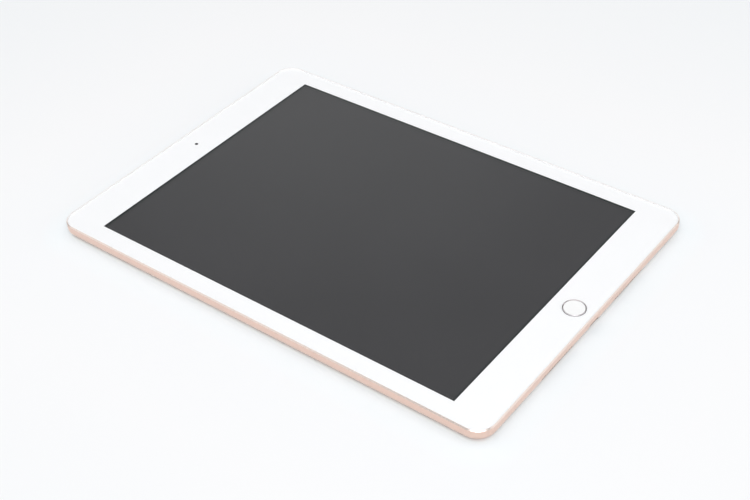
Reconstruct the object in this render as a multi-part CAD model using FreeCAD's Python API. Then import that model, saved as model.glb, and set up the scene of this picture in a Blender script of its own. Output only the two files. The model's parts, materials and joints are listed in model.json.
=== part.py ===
import FreeCAD, Part
import math
import os

os.makedirs("parts", exist_ok=True)

# A tablet computer, lying on its back. Millimetres throughout.
# Origin: middle of the back face. +X is right as seen from the screen side, +Y points to the end
# with the front camera, and +Z points out of the screen.

# ---- case ----
BODY_W = 169.5
BODY_L = 240.0
BODY_T = 7.5
CORNER_R = 9.0
CHAMFER = 0.5  # polished edge round the glass
SIDE_LOW_Z = 4.6  # below this height the side curves under
BACK_CURVE = 6.5  # how far in from the side the back becomes flat
SIDE_ARC_R = 3.6  # the tighter of the two arcs of the curve, next to the side
BACK_WALL = 0.9
SIDE_WALL = 3.2  # inner wall of the cavity, in from the side
CAVITY_SCOOP = 2.6  # depth of the two bevels between the floor and the walls
HALF_W = BODY_W / 2
HALF_L = BODY_L / 2

# ---- front glass and what seals it ----
RIM_INSET = 0.56  # inner face of the case's rim
GLASS_INSET = 0.74
GLASS_T = 0.65
GLASS_BEVEL = 0.12
MASK_T = 0.05
ADHESIVE_T = 0.15
ADHESIVE_W = 2.1
GASKET_BELOW_GLASS = 0.03
MASK_TOP = BODY_T - GLASS_T
MASK_Z = MASK_TOP - MASK_T
LEDGE_Z = MASK_Z - ADHESIVE_T
GLASS_W = BODY_W - 2 * GLASS_INSET
GLASS_L = BODY_L - 2 * GLASS_INSET
GLASS_R = CORNER_R - GLASS_INSET

# ---- display ----
SCREEN_Y = 0.4  # the picture area sits a little towards the camera end
ACTIVE_W = 147.8
ACTIVE_L = 197.1
WINDOW_SIDE = 0.7  # how far the printed border's opening reaches past the picture, at each side
WINDOW_END = 1.05  # the same at each end
WINDOW_W = ACTIVE_W + 2 * WINDOW_SIDE
WINDOW_L = ACTIVE_L + 2 * WINDOW_END
PANEL_BORDER = 1.8
DRIVER_LEDGE = 2.8  # bare strip of the lower glass sheet, at the home button end
PANEL_TOP = 6.35
UPPER_SHEET_T = 0.30
LOWER_SHEET_T = 0.25
EDGE_TAPE_T = 0.04
DIFFUSER_T = 0.20
GUIDE_T = 0.45
REFLECTOR_T = 0.10
FRAME_T = 0.25
FRAME_WALL = 0.4
FRAME_GAP = 0.35
SHEET_INSET = 0.5
TFT_TOP = PANEL_TOP - UPPER_SHEET_T
PANEL_Z = TFT_TOP - LOWER_SHEET_T
DIFFUSER_Z = PANEL_Z - DIFFUSER_T
GUIDE_Z = DIFFUSER_Z - GUIDE_T
REFLECTOR_Z = GUIDE_Z - REFLECTOR_T
FRAME_Z = REFLECTOR_Z - FRAME_T
PANEL_HALF_W = ACTIVE_W / 2 + PANEL_BORDER
PANEL_HALF_L = ACTIVE_L / 2 + PANEL_BORDER
PANEL_Y = (SCREEN_Y - PANEL_HALF_L - DRIVER_LEDGE, SCREEN_Y + PANEL_HALF_L)
FRAME_HALF_W = PANEL_HALF_W + FRAME_GAP + FRAME_WALL
FRAME_Y = (PANEL_Y[0] - FRAME_GAP - FRAME_WALL, PANEL_Y[1] + FRAME_GAP + FRAME_WALL)
FRAME_WINDOW_HALF = (30, 38)
FRAME_WINDOWS = [(x, y) for x in (-37, 37) for y in (-48, 48)]
TAB_L = 5.0
TAB_W = 5.2
LCD_TABS = [(-60, 1), (60, 1), (-60.5, -1), (60.5, -1)]  # x, and which end of the display

LED_COUNT = 16
LED_PITCH = 9.0
LED_W = 2.6
LED_T = 0.4
LED_BOARD_T = 0.1
LED_REACH = 0.9  # how far an LED stands off the light guide's edge

# ---- home button ----
HOME = (0.0, -110.2)
RING_OUTER_R = 5.15
RING_INNER_R = 4.75
RING_TOP = BODY_T - 0.04
CAP_R = 4.73
CAP_TOP = BODY_T - 0.34
CAP_T = 0.41
SENSOR_T = 0.55
SENSOR_PLATE_T = 0.2
SENSOR_HALF = 3.0
FLANGE_R = 6.0
FLANGE_T = 0.4
FLANGE_BEVEL = 0.12
HOME_GAP = 0.12
DOME_H = 0.3
DOME_SKIN = 0.08
HOME_DOME_R = 2.2
HOME_BRACKET_T = 0.3
HOME_BRACKET_Y = (-5.3, 4.3)  # from the button's middle
HOME_BRIDGE_HALF = 8.5
HOME_FOOT_END = 12.5
HOME_FLEX_Y = (-107.4, -104.6)
SENSOR_Z = CAP_TOP - CAP_T - SENSOR_T
HOME_FLANGE_Z = SENSOR_Z - FLANGE_T
HOME_BASE_Z = HOME_FLANGE_Z - DOME_H
HOME_HOLE_R = RING_OUTER_R + HOME_GAP

# ---- cameras ----
FRONT_CAMERA = (0.0, 110.1)
FRONT_APERTURE_R = 0.9
FRONT_SHELF_HALF = (4.5, 3.4)
FRONT_BLOCK_HALF = (3.4, 3.1)
FRONT_BLOCK_Z = (3.4, 5.9)
FRONT_BARREL_R = 2.3
FRONT_BORE_R = 1.3
FRONT_LENS_R = 1.25
FRONT_LENS_Z = (6.1, 6.3)
FRONT_LENS_CROWN = 0.15
REAR_CAMERA = (73.2, 108.5)
REAR_RING_R = 3.65
REAR_RING_CHAMFER = 0.2
REAR_FLANGE_R = 4.4
REAR_FLANGE_TOP = BACK_WALL + 0.3
REAR_WINDOW_R = 2.9
REAR_WINDOW_Z = (0.12, 0.62)
REAR_OPENING_R = 2.3
REAR_BLOCK_HALF = 4.1
REAR_BLOCK_Z = (1.9, 4.4)
REAR_BARREL_R = 3.2
REAR_PUPIL_R = 1.2
REAR_PUPIL_DEPTH = 1.7
CAMERA_ARM_HALF = 1.9
REAR_MIC = (57.0, 110.0)
TOP_MIC_Z = 4.2
MIC_HOLE_R = 0.4

# ---- side buttons ----
BUTTON_Z = 3.7
SLOT_L = 10.8
SLOT_H = 2.5
BUTTON_CLEARANCE = 0.13
BUTTON_PROUD = 0.3
BUTTON_WALL = 2.15  # wall left between the side and the pocket behind a button
POCKET_Z = (1.9, 5.6)
POCKET_L = 14.6
POCKET_DEPTH = 8.0
SIDE_FLANGE_T = 0.6
SIDE_FLANGE_LIP = 1.0
STEM_L = 0.5
STEM_R = 0.8
SIDE_DOME_R = 1.4
FLEX_T = 0.12
FLEX_BEND_R = 0.5
BRACKET_T = 0.4
BRACKET_FOOT_HALF = 1.2
POWER_STRIP_HALF = 6.0
POWER_BRACKET_HALF = 10.0
VOLUME_STRIP_HALF = 13.0
VOLUME_BRACKET_HALF = 17.3
POWER_X = 62.75
VOLUME_Y = {"up": 88.5, "down": 73.9}

# ---- sockets, speakers ----
PORT_Z = 3.3
PORT_W = 8.3
PORT_H = 2.6
PORT_WALL = 0.3
PORT_DEPTH = 6.7
PORT_MOUTH = -HALF_L + SIDE_WALL
PORT_REAR = PORT_MOUTH + PORT_DEPTH
PORT_POCKET_Z = (1.6, 5.1)
PLUG_W = 7.0
PLUG_H = 1.7
LINER_BACK = 0.6
CONTACTS = 8
CONTACT_PITCH = 0.66
CONTACT_W = 0.36
CONTACT_T = 0.12
JACK_X = -72.0
JACK_Z = 3.4
JACK_BORE_R = 1.8
JACK_RECESS = 0.35  # how far the socket's nose stands back from the body's side
JACK_BORE_L = 14.5
JACK_HOLE_R = 2.35
JACK_HALF_W = 3.3
JACK_BLOCK_Z = (1.3, 5.9)
JACK_END_WALL = 1.2
JACK_BACK_Y = HALF_L - JACK_RECESS - JACK_BORE_L - JACK_END_WALL
GRILLE_X = 18.5  # first hole from the middle
GRILLE_PITCH = 1.9
GRILLE_COLUMNS = 13
GRILLE_ROWS = (2.35, 3.75)
GRILLE_HOLE = 0.95
GRILLE_END = GRILLE_X + GRILLE_PITCH * (GRILLE_COLUMNS - 1)
GRILLE_POCKET_X = (GRILLE_X - 1.5, GRILLE_END + 1.5)
GRILLE_POCKET_Z = (1.5, 4.7)
MESH_T = 0.15
MESH_Z = (1.55, 4.65)
SPEAKER_X = (16.0, 58.0)
SPEAKER_Y = (-114.2, -104.2)
SNOUT_WALL = 0.6
SOUND_CHANNEL_Z = (1.8, 4.3)
SOUND_CHANNEL_END = -108.5

# ---- antennas, magnets ----
ANTENNA_X = (68.0, 78.0)
ANTENNA_Y = (-113.6, -105.4)
ANTENNA_TOP = 6.5
ANTENNA_WALL = 1.2
ANTENNA_ROOF = 0.9
MAGNET_W = 2.0
MAGNET_L = 16.0
MAGNET_Z = (3.6, 5.4)
MAGNET_Y = {-1: (-60, -36, -12, 12, 36, 60), 1: (-60, -36, -12)}  # along the left and the right side

# ---- battery, board, fasteners ----
CELL_W = 62.0
CELL_BEVEL = 0.6
CELL_Y = (-72.0, 84.0)
CELL_Z = (1.0, 4.2)
CELL_X = {"left": (-76.0, -14.0), "right": (-12.6, 49.4)}
BOARD_X = (52.0, 76.0)
BOARD_Y = (-40.0, 96.0)
BOARD_Z = (1.9, 2.6)
BOARD_NOTCH_Y = (63, 90)
BOARD_NOTCH = 3.0
CHIPS = [  # x, y, half width, half length, height
    (64, 27, 7, 7, 1.0),
    (64, 45, 6, 7, 0.9),
    (64, 56, 5, 3, 0.8),
    (64, -8, 6, 6, 1.0),
    (64, -21, 7, 4, 0.8),
    (62, 70, 5, 5, 1.1),
    (66, 81, 5, 1.5, 1.0),
    (64, 92, 4, 1.2, 1.0),
]
SHIELD_Y = ((12, 62), (-28, 0))
SHIELD_TOP = 4.0
SHIELD_WALL = 0.2
SHIELD_INSET = 2.5
PROTECTION_X = (-62, 51.6)
PROTECTION_W = 6.0
PROTECTION_Z = (2.0, 2.6)
PROTECTION_TAIL = (44, 58)
PROTECTION_PARTS_X = (-50, -30, -8, 12, 32)
BOARD_SCREWS = [(55, -36), (73, -36), (55, 6), (73, 6), (55, 80), (73, 93)]
SCREW_R = 0.55
SCREW_HEAD_R = 1.1
SCREW_HEAD_T = 0.4
SCREW_HOLE_R = 0.6
BOSS_R = 2.0
CAMERA_SCREWS = [(65.4, 108.5), (79.6, 108.5)]
CAMERA_BRACKET_Z = (REAR_BLOCK_Z[1], REAR_BLOCK_Z[1] + 0.2)
BOSS_SIDES = 6
PORT_EAR_X = 8.2
PORT_EAR_HALF = 1.6
PORT_EAR_Z = (1.9, 2.3)
PORT_SCREWS = [(-PORT_EAR_X, -112.1), (PORT_EAR_X, -112.1)]
JACK_SCREW = (-65.6, 106.0)
JACK_EAR_HALF = 1.9
JACK_EAR_Z = (3.2, 3.6)

# ---- flexible strips on the floor and down from the glass ----
FLOOR_FLEX_Z = (BACK_WALL, BACK_WALL + FLEX_T)
TOUCH_FLEX_Y = (20, 42)
TOUCH_FLEX_X = (77.4, 80.4, 74.4)  # on the glass, down the side, on the board
DISPLAY_FLEX_X = (63.7, 71.6)
AUDIO_FLEX_X = (JACK_X - 3, 62)
AUDIO_FLEX_Y = (93.5, 97.5)
PORT_FLEX_X = (61, 69)
PORT_FLEX_Y = (-100, -94)


# ---------------------------------------------------------------- helpers


def vec(x, y, z):
    return FreeCAD.Vector(x, y, z)


def about(centre, half):
    """The range of a length centred on a point of an axis."""
    return (centre - half, centre + half)


def box(x_range, y_range, z_range):
    spans = [high - low for low, high in (x_range, y_range, z_range)]
    return Part.makeBox(*spans, vec(x_range[0], y_range[0], z_range[0]))


def disc(radius, z_range, centre=(0, 0)):
    return Part.makeCylinder(radius, z_range[1] - z_range[0], vec(centre[0], centre[1], z_range[0]))


def polygon(radius, z, centre, sides):
    corners = []
    for k in range(sides + 1):
        turn = 2 * math.pi * (k + 0.5) / sides
        corners.append(vec(centre[0] + radius * math.cos(turn), centre[1] + radius * math.sin(turn), z))
    return Part.makePolygon(corners)


def prism(radius, z_range, centre, sides=12):
    """A many-sided upright bar, for small round pieces that repeat inside the case."""
    return Part.Face(polygon(radius, z_range[0], centre, sides)).extrude(vec(0, 0, z_range[1] - z_range[0]))


def frustum(radii, z_range, centre, sides=12):
    """A many-sided bar with a smaller or larger top than its foot."""
    low = [v.Point for v in polygon(radii[0], z_range[0], centre, sides).OrderedVertexes]
    high = [v.Point for v in polygon(radii[1], z_range[1], centre, sides).OrderedVertexes]
    faces = [Part.Face(Part.makePolygon(ring + ring[:1])) for ring in (low, high)]
    for k in range(sides):
        after = (k + 1) % sides
        faces.append(Part.Face(Part.makePolygon([low[k], low[after], high[after], high[k], low[k]])))
    return Part.makeSolid(Part.makeShell(faces))


def fused(shapes):
    return shapes[0].multiFuse(shapes[1:]).removeSplitter()


def upright_edges(shape):
    """The edges that run along Z, whose fillets round a plate's corners."""
    return [e for e in shape.Edges if e.BoundBox.XLength + e.BoundBox.YLength < 1e-6]


def plate(x_range, y_range, z_range, corner_r):
    """A block with rounded upright edges."""
    block = box(x_range, y_range, z_range)
    return block.makeFillet(corner_r, upright_edges(block))


def centred_plate(inset, z_range, corner_r):
    """A plate that follows the body's outline, inset all round."""
    return plate(about(0, HALF_W - inset), about(0, HALF_L - inset), z_range, corner_r)


def lines(points):
    """Straight edges through points of the XZ plane."""
    ends = [vec(x, 0, z) for x, z in points]
    return [Part.LineSegment(a, b).toShape() for a, b in zip(ends, ends[1:])]


def face_of(edges):
    return Part.Face(Part.Wire(Part.__sortEdges__(edges)))


def rimmed_slab(width, length, corner_r, section):
    """A slab with one rim section all round: extruded along the sides, turned round the corners.

    The section lies in the XZ plane, with X its distance from the corner's axis.
    """
    half_w = width / 2 - corner_r
    half_l = length / 2 - corner_r
    z_range = (section.BoundBox.ZMin, section.BoundBox.ZMax)
    pieces = [box(about(0, half_w), about(0, half_l), z_range)]
    quarter = section.revolve(vec(0, 0, 0), vec(0, 0, 1), 90)
    for turn in range(4):
        run, offset = ((half_l, half_w), (half_w, half_l))[turn % 2]
        side = section.extrude(vec(0, 2 * run, 0))
        side.translate(vec(offset, -run, 0))
        side.rotate(vec(0, 0, 0), vec(0, 0, 1), 90 * turn)
        corner = quarter.copy()
        corner.translate(vec(offset, run, 0))
        corner.rotate(vec(0, 0, 0), vec(0, 0, 1), 90 * turn)
        pieces += [side, corner]
    return fused(pieces)


def slot_prism(length, height, y_range, z):
    """A round-ended bar along Y, centred on x = 0: the shape of a button or a socket's mouth."""
    bar = box(about(0, length / 2), y_range, about(z, height / 2))
    ends = [e for e in bar.Edges if e.BoundBox.XLength + e.BoundBox.ZLength < 1e-6]
    return bar.makeFillet(height / 2 - 1e-4, ends)


def rod_y(radius, y_range, x, z):
    return Part.makeCylinder(radius, y_range[1] - y_range[0], vec(x, y_range[0], z), vec(0, 1, 0))


def ribbon(points, bend_r, thickness, width_range, along):
    """A flexible flat strip through points of (along, z), with round bends, extruded over its width."""
    mid = [FreeCAD.Vector(u, v, 0) for u, v in points]
    heads = [(b - a).normalize() for a, b in zip(mid, mid[1:])]
    normals = [FreeCAD.Vector(-h.y, h.x, 0) for h in heads]

    def offset_edges(d):
        edges = []
        start = mid[0] + normals[0] * d
        for i in range(1, len(mid) - 1):
            turn = heads[i - 1].getAngle(heads[i])
            side = 1 if heads[i - 1].cross(heads[i]).z > 0 else -1
            run = bend_r * math.tan(turn / 2)
            enter = mid[i] - heads[i - 1] * run
            leave = mid[i] + heads[i] * run
            centre = enter + normals[i - 1] * (side * bend_r)
            out = (normals[i - 1] + normals[i]).normalize() * -side
            first = enter + normals[i - 1] * d
            last = leave + normals[i] * d
            edges.append(Part.LineSegment(start, first).toShape())
            edges.append(Part.Arc(first, centre + out * (bend_r - side * d), last).toShape())
            start = last
        end = mid[-1] + normals[-1] * d
        edges.append(Part.LineSegment(start, end).toShape())
        return edges, mid[0] + normals[0] * d, end

    upper, upper_start, upper_end = offset_edges(thickness / 2)
    lower, lower_start, lower_end = offset_edges(-thickness / 2)
    caps = [
        Part.LineSegment(upper_start, lower_start).toShape(),
        Part.LineSegment(upper_end, lower_end).toShape(),
    ]
    strip = face_of(upper + lower + caps).extrude(vec(0, 0, width_range[0] - width_range[1]))
    strip.rotate(vec(0, 0, 0), vec(1, 0, 0), 90)
    strip.translate(vec(0, width_range[0], 0))
    if along == "Y":
        strip = swap_xy(strip)
    return strip


def swap_xy(shape):
    """The shape with its X and Y axes exchanged."""
    return shape.mirror(vec(0, 0, 0), vec(1, -1, 0))


def dome(base_r, height):
    """A thin snap disc that stands on z = 0: sloping sides and a flat top where it is pressed."""
    top_r = base_r * 0.4
    outer = frustum((base_r, top_r), (0, height), (0, 0))
    radii = (base_r - 2 * DOME_SKIN, top_r - DOME_SKIN)
    return outer.cut(frustum(radii, (0, height - DOME_SKIN), (0, 0)))


def screw(head_z, length, centre):
    """A small machine screw, head up."""
    head = prism(SCREW_HEAD_R, (head_z, head_z + SCREW_HEAD_T), centre, 8)
    shank = prism(SCREW_R, (head_z - length, head_z), centre, 6)
    return fused([head, shank])


def mirrored(shape):
    """The same piece on the other side of the middle."""
    return shape.mirror(vec(0, 0, 0), vec(1, 0, 0))


def to_top_side(shape, x):
    """Moves a piece built against y = 0 to the end with the front camera."""
    placed = shape.copy()
    placed.translate(vec(x, HALF_L, 0))
    return placed


def to_right_side(shape, y):
    """Moves a piece built against y = 0 to the right-hand side."""
    placed = shape.copy()
    placed.rotate(vec(0, 0, 0), vec(0, 0, 1), -90)
    placed.translate(vec(HALF_W, y, 0))
    return placed


# ---------------------------------------------------------------- case


def body_section():
    """The rim of the body: flat back, two tangent arcs up to the side, chamfer at the glass."""
    flat_r = CORNER_R - BACK_CURVE
    reach = BACK_CURVE - SIDE_ARC_R
    # the large arc is tangent to the flat back and to the small one
    big_r = (reach**2 + SIDE_LOW_Z**2 - SIDE_ARC_R**2) / (2 * (SIDE_LOW_Z - SIDE_ARC_R))
    small_centre = vec(CORNER_R - SIDE_ARC_R, 0, SIDE_LOW_Z)
    big_centre = vec(flat_r, 0, big_r)
    meet_way = (small_centre - big_centre).normalize()
    meet = small_centre + meet_way * SIDE_ARC_R
    side = vec(CORNER_R, 0, SIDE_LOW_Z)
    small_mid = small_centre + (meet_way + vec(1, 0, 0)).normalize() * SIDE_ARC_R
    big_mid = big_centre + (meet_way + vec(0, 0, -1)).normalize() * big_r
    small = Part.Arc(side, small_mid, meet).toShape()
    big = Part.Arc(meet, big_mid, vec(flat_r, 0, 0)).toShape()
    outline = lines(
        [
            (flat_r, 0),
            (0, 0),
            (0, BODY_T),
            (CORNER_R - CHAMFER, BODY_T),
            (CORNER_R, BODY_T - CHAMFER),
            (CORNER_R, SIDE_LOW_Z),
        ]
    )
    return face_of([small, big] + outline)


def cavity_section():
    """The hollow inside: a flat floor with a bevelled edge, open at the top."""
    cavity_r = CORNER_R - SIDE_WALL
    floor_r = cavity_r - CAVITY_SCOOP
    low = BACK_WALL + CAVITY_SCOOP
    middle = CAVITY_SCOOP * math.sqrt(0.5)
    scoop = [(0, BACK_WALL), (floor_r, BACK_WALL), (floor_r + middle, low - middle), (cavity_r, low)]
    return face_of(lines(scoop + [(cavity_r, BODY_T + 1), (0, BODY_T + 1), (0, BACK_WALL)]))


def side_profile(shift):
    """A straight stretch of the body's side against y = 0, moved out by shift."""
    run = 20
    profile = body_section().extrude(vec(0, run, 0))
    profile.translate(vec(shift - CORNER_R, -run / 2, 0))
    profile.rotate(vec(0, 0, 0), vec(0, 0, 1), 90)
    return profile


def bosses():
    """Posts on the floor of the case that screws go into: x, y, top."""
    posts = [(x, y, BOARD_Z[0]) for x, y in BOARD_SCREWS]
    posts += [(x, y, CAMERA_BRACKET_Z[0]) for x, y in CAMERA_SCREWS]
    posts += [(x, lcd_tab_y(end), FRAME_Z) for x, end in LCD_TABS]
    posts += [(x, y, PORT_EAR_Z[0]) for x, y in PORT_SCREWS]
    posts.append((*JACK_SCREW, JACK_EAR_Z[0]))
    return posts


def lcd_tab_y(end):
    """Centre of a screw in a tab at the camera end (1) or the home button end (-1)."""
    return FRAME_Y[1] + TAB_L / 2 if end > 0 else FRAME_Y[0] - TAB_L / 2


def grille_holes():
    """Two rows of holes on each side of the charging port."""
    holes = []
    y_range = (-HALF_L - 1, PORT_MOUTH + 1)
    for column in range(GRILLE_COLUMNS):
        x = GRILLE_X + GRILLE_PITCH * column
        for z in GRILLE_ROWS:
            hole = box(about(x, GRILLE_HOLE / 2), y_range, about(z, GRILLE_HOLE / 2))
            holes += [hole, mirrored(hole)]
    return holes


def grille_pocket():
    """Flat seat behind the right-hand grille, which the mesh and the speaker's snout close."""
    return box(GRILLE_POCKET_X, (PORT_MOUTH, SPEAKER_Y[0] + 2.2), GRILLE_POCKET_Z)


def top_microphone_hole():
    """The hole in the camera end's wall, as a bar that drills it."""
    hole = prism(MIC_HOLE_R, about(0, SIDE_WALL + 1), (0, 0), 6)
    hole.rotate(vec(0, 0, 0), vec(1, 0, 0), 90)
    hole.translate(vec(0, HALF_L, TOP_MIC_Z))
    return hole


def wall_cuts():
    """Everything that opens the walls of the case."""
    pocket = box(about(0, POCKET_L / 2), (-POCKET_DEPTH, -BUTTON_WALL), POCKET_Z)
    slot = slot_prism(SLOT_L, SLOT_H, (-POCKET_DEPTH, 2), BUTTON_Z)
    cuts = [to_top_side(pocket, POWER_X), to_top_side(slot, POWER_X)]
    for y in VOLUME_Y.values():
        cuts += [to_right_side(pocket, y), to_right_side(slot, y)]
    inner_y = HALF_L - SIDE_WALL
    cuts.append(rod_y(JACK_HOLE_R, (inner_y - 2, HALF_L + 1), JACK_X, JACK_Z))
    cuts.append(box(about(JACK_X, JACK_HALF_W + 0.1), (HALF_L - 9, inner_y), (1.2, 6.0)))
    cuts.append(slot_prism(PORT_W, PORT_H, (-HALF_L - 1, PORT_MOUTH + 1), PORT_Z))
    cuts.append(box(about(0, PORT_W / 2 + 2 * PORT_WALL), (PORT_MOUTH, PORT_REAR - 0.9), PORT_POCKET_Z))
    cuts.append(top_microphone_hole())
    cuts.append(prism(MIC_HOLE_R, (-1, BACK_WALL + 1), REAR_MIC))
    cuts.append(disc(REAR_RING_R + 0.05, (-1, BACK_WALL + 1), REAR_CAMERA))
    cuts += grille_holes()
    cuts += [grille_pocket(), mirrored(grille_pocket())]
    return cuts


def rear_housing():
    """The case: a machined aluminium shell with a hollow, a ledge for the glass and screw posts."""
    shell = rimmed_slab(BODY_W, BODY_L, CORNER_R, body_section())
    inner_w = BODY_W - 2 * SIDE_WALL
    inner_l = BODY_L - 2 * SIDE_WALL
    cavity = rimmed_slab(inner_w, inner_l, CORNER_R - SIDE_WALL, cavity_section())
    recess = centred_plate(RIM_INSET, (LEDGE_Z, BODY_T + 1), CORNER_R - RIM_INSET)
    shell = shell.cut([cavity, recess])
    shelf = camera_block(FRONT_CAMERA, FRONT_SHELF_HALF, (BACK_WALL - 0.1, FRONT_BLOCK_Z[0]))
    posts = [prism(BOSS_R, (BACK_WALL - 0.1, top), (x, y), BOSS_SIDES) for x, y, top in bosses()]
    shell = shell.multiFuse(posts + [shelf])
    holes = [prism(SCREW_HOLE_R, (BACK_WALL, top + 1), (x, y), 6) for x, y, top in bosses()]
    return shell.cut(wall_cuts() + holes).removeSplitter()


# ---------------------------------------------------------------- front glass


def glass_gasket():
    """The thin plastic seal between the glass and the case's rim."""
    z_range = (LEDGE_Z, BODY_T - GASKET_BELOW_GLASS)
    outer = centred_plate(RIM_INSET, z_range, CORNER_R - RIM_INSET)
    return outer.cut(centred_plate(GLASS_INSET, z_range, GLASS_R))


def cover_glass():
    """The front glass, its top edge bevelled, with the hole for the home button."""
    bevel = lines(
        [
            (0, MASK_TOP),
            (GLASS_R, MASK_TOP),
            (GLASS_R, BODY_T - GLASS_BEVEL),
            (GLASS_R - GLASS_BEVEL, BODY_T),
            (0, BODY_T),
            (0, MASK_TOP),
        ]
    )
    sheet = rimmed_slab(GLASS_W, GLASS_L, GLASS_R, face_of(bevel))
    return sheet.cut(disc(HOME_HOLE_R, (MASK_Z, BODY_T + 1), HOME))


def bezel_mask():
    """The printed border under the glass, open over the picture, the home button and the camera."""
    z_range = (MASK_Z, MASK_TOP)
    border = centred_plate(GLASS_INSET, z_range, GLASS_R)
    window = box(about(0, WINDOW_W / 2), about(SCREEN_Y, WINDOW_L / 2), z_range)
    holes = [disc(HOME_HOLE_R, z_range, HOME), disc(FRONT_APERTURE_R, z_range, FRONT_CAMERA)]
    return border.cut([window] + holes)


def glass_adhesive():
    """The strip of tape on the ledge that holds the glass."""
    z_range = (LEDGE_Z, MASK_Z)
    outer = centred_plate(GLASS_INSET, z_range, GLASS_R)
    inset = GLASS_INSET + ADHESIVE_W
    return outer.cut(centred_plate(inset, z_range, CORNER_R - inset))


def touch_flex():
    """The strip from the touch layer under the glass down to the logic board."""
    high = MASK_Z - FLEX_T / 2
    low = BOARD_Z[1] + FLEX_T / 2
    start, side, end = TOUCH_FLEX_X
    path = [(start, high), (side, high), (side, low), (end, low)]
    return ribbon(path, FLEX_BEND_R, FLEX_T, TOUCH_FLEX_Y, "X")


# ---------------------------------------------------------------- display


def lcd_panel():
    """The liquid crystal cell: two glass sheets, the lower one longer to carry the drivers."""
    lower = box(about(0, PANEL_HALF_W), PANEL_Y, (PANEL_Z, TFT_TOP))
    upper = box(about(0, PANEL_HALF_W), (PANEL_Y[0] + DRIVER_LEDGE, PANEL_Y[1]), (TFT_TOP, PANEL_TOP))
    return fused([lower, upper])


def lcd_edge_tape():
    """The black border round the picture area, on top of the cell."""
    z_range = (PANEL_TOP, PANEL_TOP + EDGE_TAPE_T)
    outer = box(about(0, PANEL_HALF_W), (PANEL_Y[0] + DRIVER_LEDGE, PANEL_Y[1]), z_range)
    return outer.cut(box(about(0, ACTIVE_W / 2), about(SCREEN_Y, ACTIVE_L / 2), z_range))


def backlight_sheet(z, thickness):
    """A sheet of the backlight, the size of the light guide."""
    y_range = (PANEL_Y[0] + DRIVER_LEDGE, PANEL_Y[1] - SHEET_INSET)
    return box(about(0, PANEL_HALF_W - SHEET_INSET), y_range, (z, z + thickness))


def led_strip():
    """The row of white LEDs on a narrow board, facing the edge of the light guide."""
    guide_edge = PANEL_Y[0] + DRIVER_LEDGE
    board_top = REFLECTOR_Z + LED_BOARD_T
    pieces = [box(about(0, LED_COUNT * LED_PITCH / 2), (PANEL_Y[0], guide_edge), (REFLECTOR_Z, board_top))]
    for k in range(LED_COUNT):
        x = (k - (LED_COUNT - 1) / 2) * LED_PITCH
        y_range = (guide_edge - LED_REACH, guide_edge)
        pieces.append(box(about(x, LED_W / 2), y_range, (board_top, board_top + LED_T)))
    return fused(pieces)


def lcd_frame():
    """The stamped steel tray behind the display, with four large windows and four screw tabs."""
    tray = box(about(0, FRAME_HALF_W), FRAME_Y, (FRAME_Z, TFT_TOP))
    inner_y = (FRAME_Y[0] + FRAME_WALL, FRAME_Y[1] - FRAME_WALL)
    hollow = box(about(0, FRAME_HALF_W - FRAME_WALL), inner_y, (REFLECTOR_Z, TFT_TOP + 1))
    tray = tray.cut(hollow)
    tabs = []
    holes = []
    for x, y in FRAME_WINDOWS:
        window = [about(x, FRAME_WINDOW_HALF[0]), about(y, FRAME_WINDOW_HALF[1])]
        holes.append(box(*window, (FRAME_Z - 1, REFLECTOR_Z)))
    for x, end in LCD_TABS:
        edge = FRAME_Y[1] if end > 0 else FRAME_Y[0]
        y_range = (edge - 0.3, edge + TAB_L) if end > 0 else (edge - TAB_L, edge + 0.3)
        tabs.append(box(about(x, TAB_W / 2), y_range, (FRAME_Z, REFLECTOR_Z)))
        holes.append(prism(SCREW_HOLE_R, (FRAME_Z - 1, REFLECTOR_Z + 1), (x, lcd_tab_y(end)), 6))
    return fused([tray] + tabs).cut(holes)


def display_flex():
    """The strip from the cell's driver edge, folded under the display and on to the logic board."""
    half_t = FLEX_T / 2
    edge = FRAME_Y[0] - 0.5
    path = [
        (PANEL_Y[0] + DRIVER_LEDGE - 0.6, TFT_TOP + half_t),
        (edge, TFT_TOP + half_t),
        (edge, FRAME_Z - half_t),
        (BOARD_Y[0] - 12, FRAME_Z - half_t),
        (BOARD_Y[0] - 4, BOARD_Z[1] + half_t),
        (BOARD_Y[0] + 9, BOARD_Z[1] + half_t),
    ]
    return ribbon(path, 0.4, FLEX_T, DISPLAY_FLEX_X, "Y")


def lcd_screws():
    return [screw(REFLECTOR_Z, 2.2, (x, lcd_tab_y(end))) for x, end in LCD_TABS]


# ---------------------------------------------------------------- home button


def home_button_cap():
    """The disc that a finger presses."""
    return disc(CAP_R, (CAP_TOP - CAP_T, CAP_TOP), HOME)


def home_ring():
    """The metal ring, whose top slopes in from the glass to the cap."""
    section = lines(
        [
            (RING_INNER_R, SENSOR_Z),
            (RING_OUTER_R, SENSOR_Z),
            (RING_OUTER_R, RING_TOP),
            (RING_INNER_R, CAP_TOP),
            (RING_INNER_R, SENSOR_Z),
        ]
    )
    ring = face_of(section).revolve(vec(0, 0, 0), vec(0, 0, 1), 360)
    ring.translate(vec(*HOME, 0))
    return ring


def home_sensor():
    """The fingerprint sensor under the cap, on its stiffener."""
    plate_top = SENSOR_Z + SENSOR_PLATE_T
    plate = prism(RING_INNER_R - 0.1, (SENSOR_Z, plate_top), HOME, 24)
    x_range, y_range = (about(place, SENSOR_HALF) for place in HOME)
    return fused([plate, box(x_range, y_range, (plate_top, CAP_TOP - CAP_T))])


def home_carrier():
    """The flanged disc that carries the ring and the sensor, and stays under the glass."""
    bevel_top = HOME_FLANGE_Z + FLANGE_BEVEL
    lower = frustum((FLANGE_R - FLANGE_BEVEL, FLANGE_R), (HOME_FLANGE_Z, bevel_top), HOME, 24)
    return fused([lower, prism(FLANGE_R, (bevel_top, SENSOR_Z), HOME, 24)])


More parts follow.
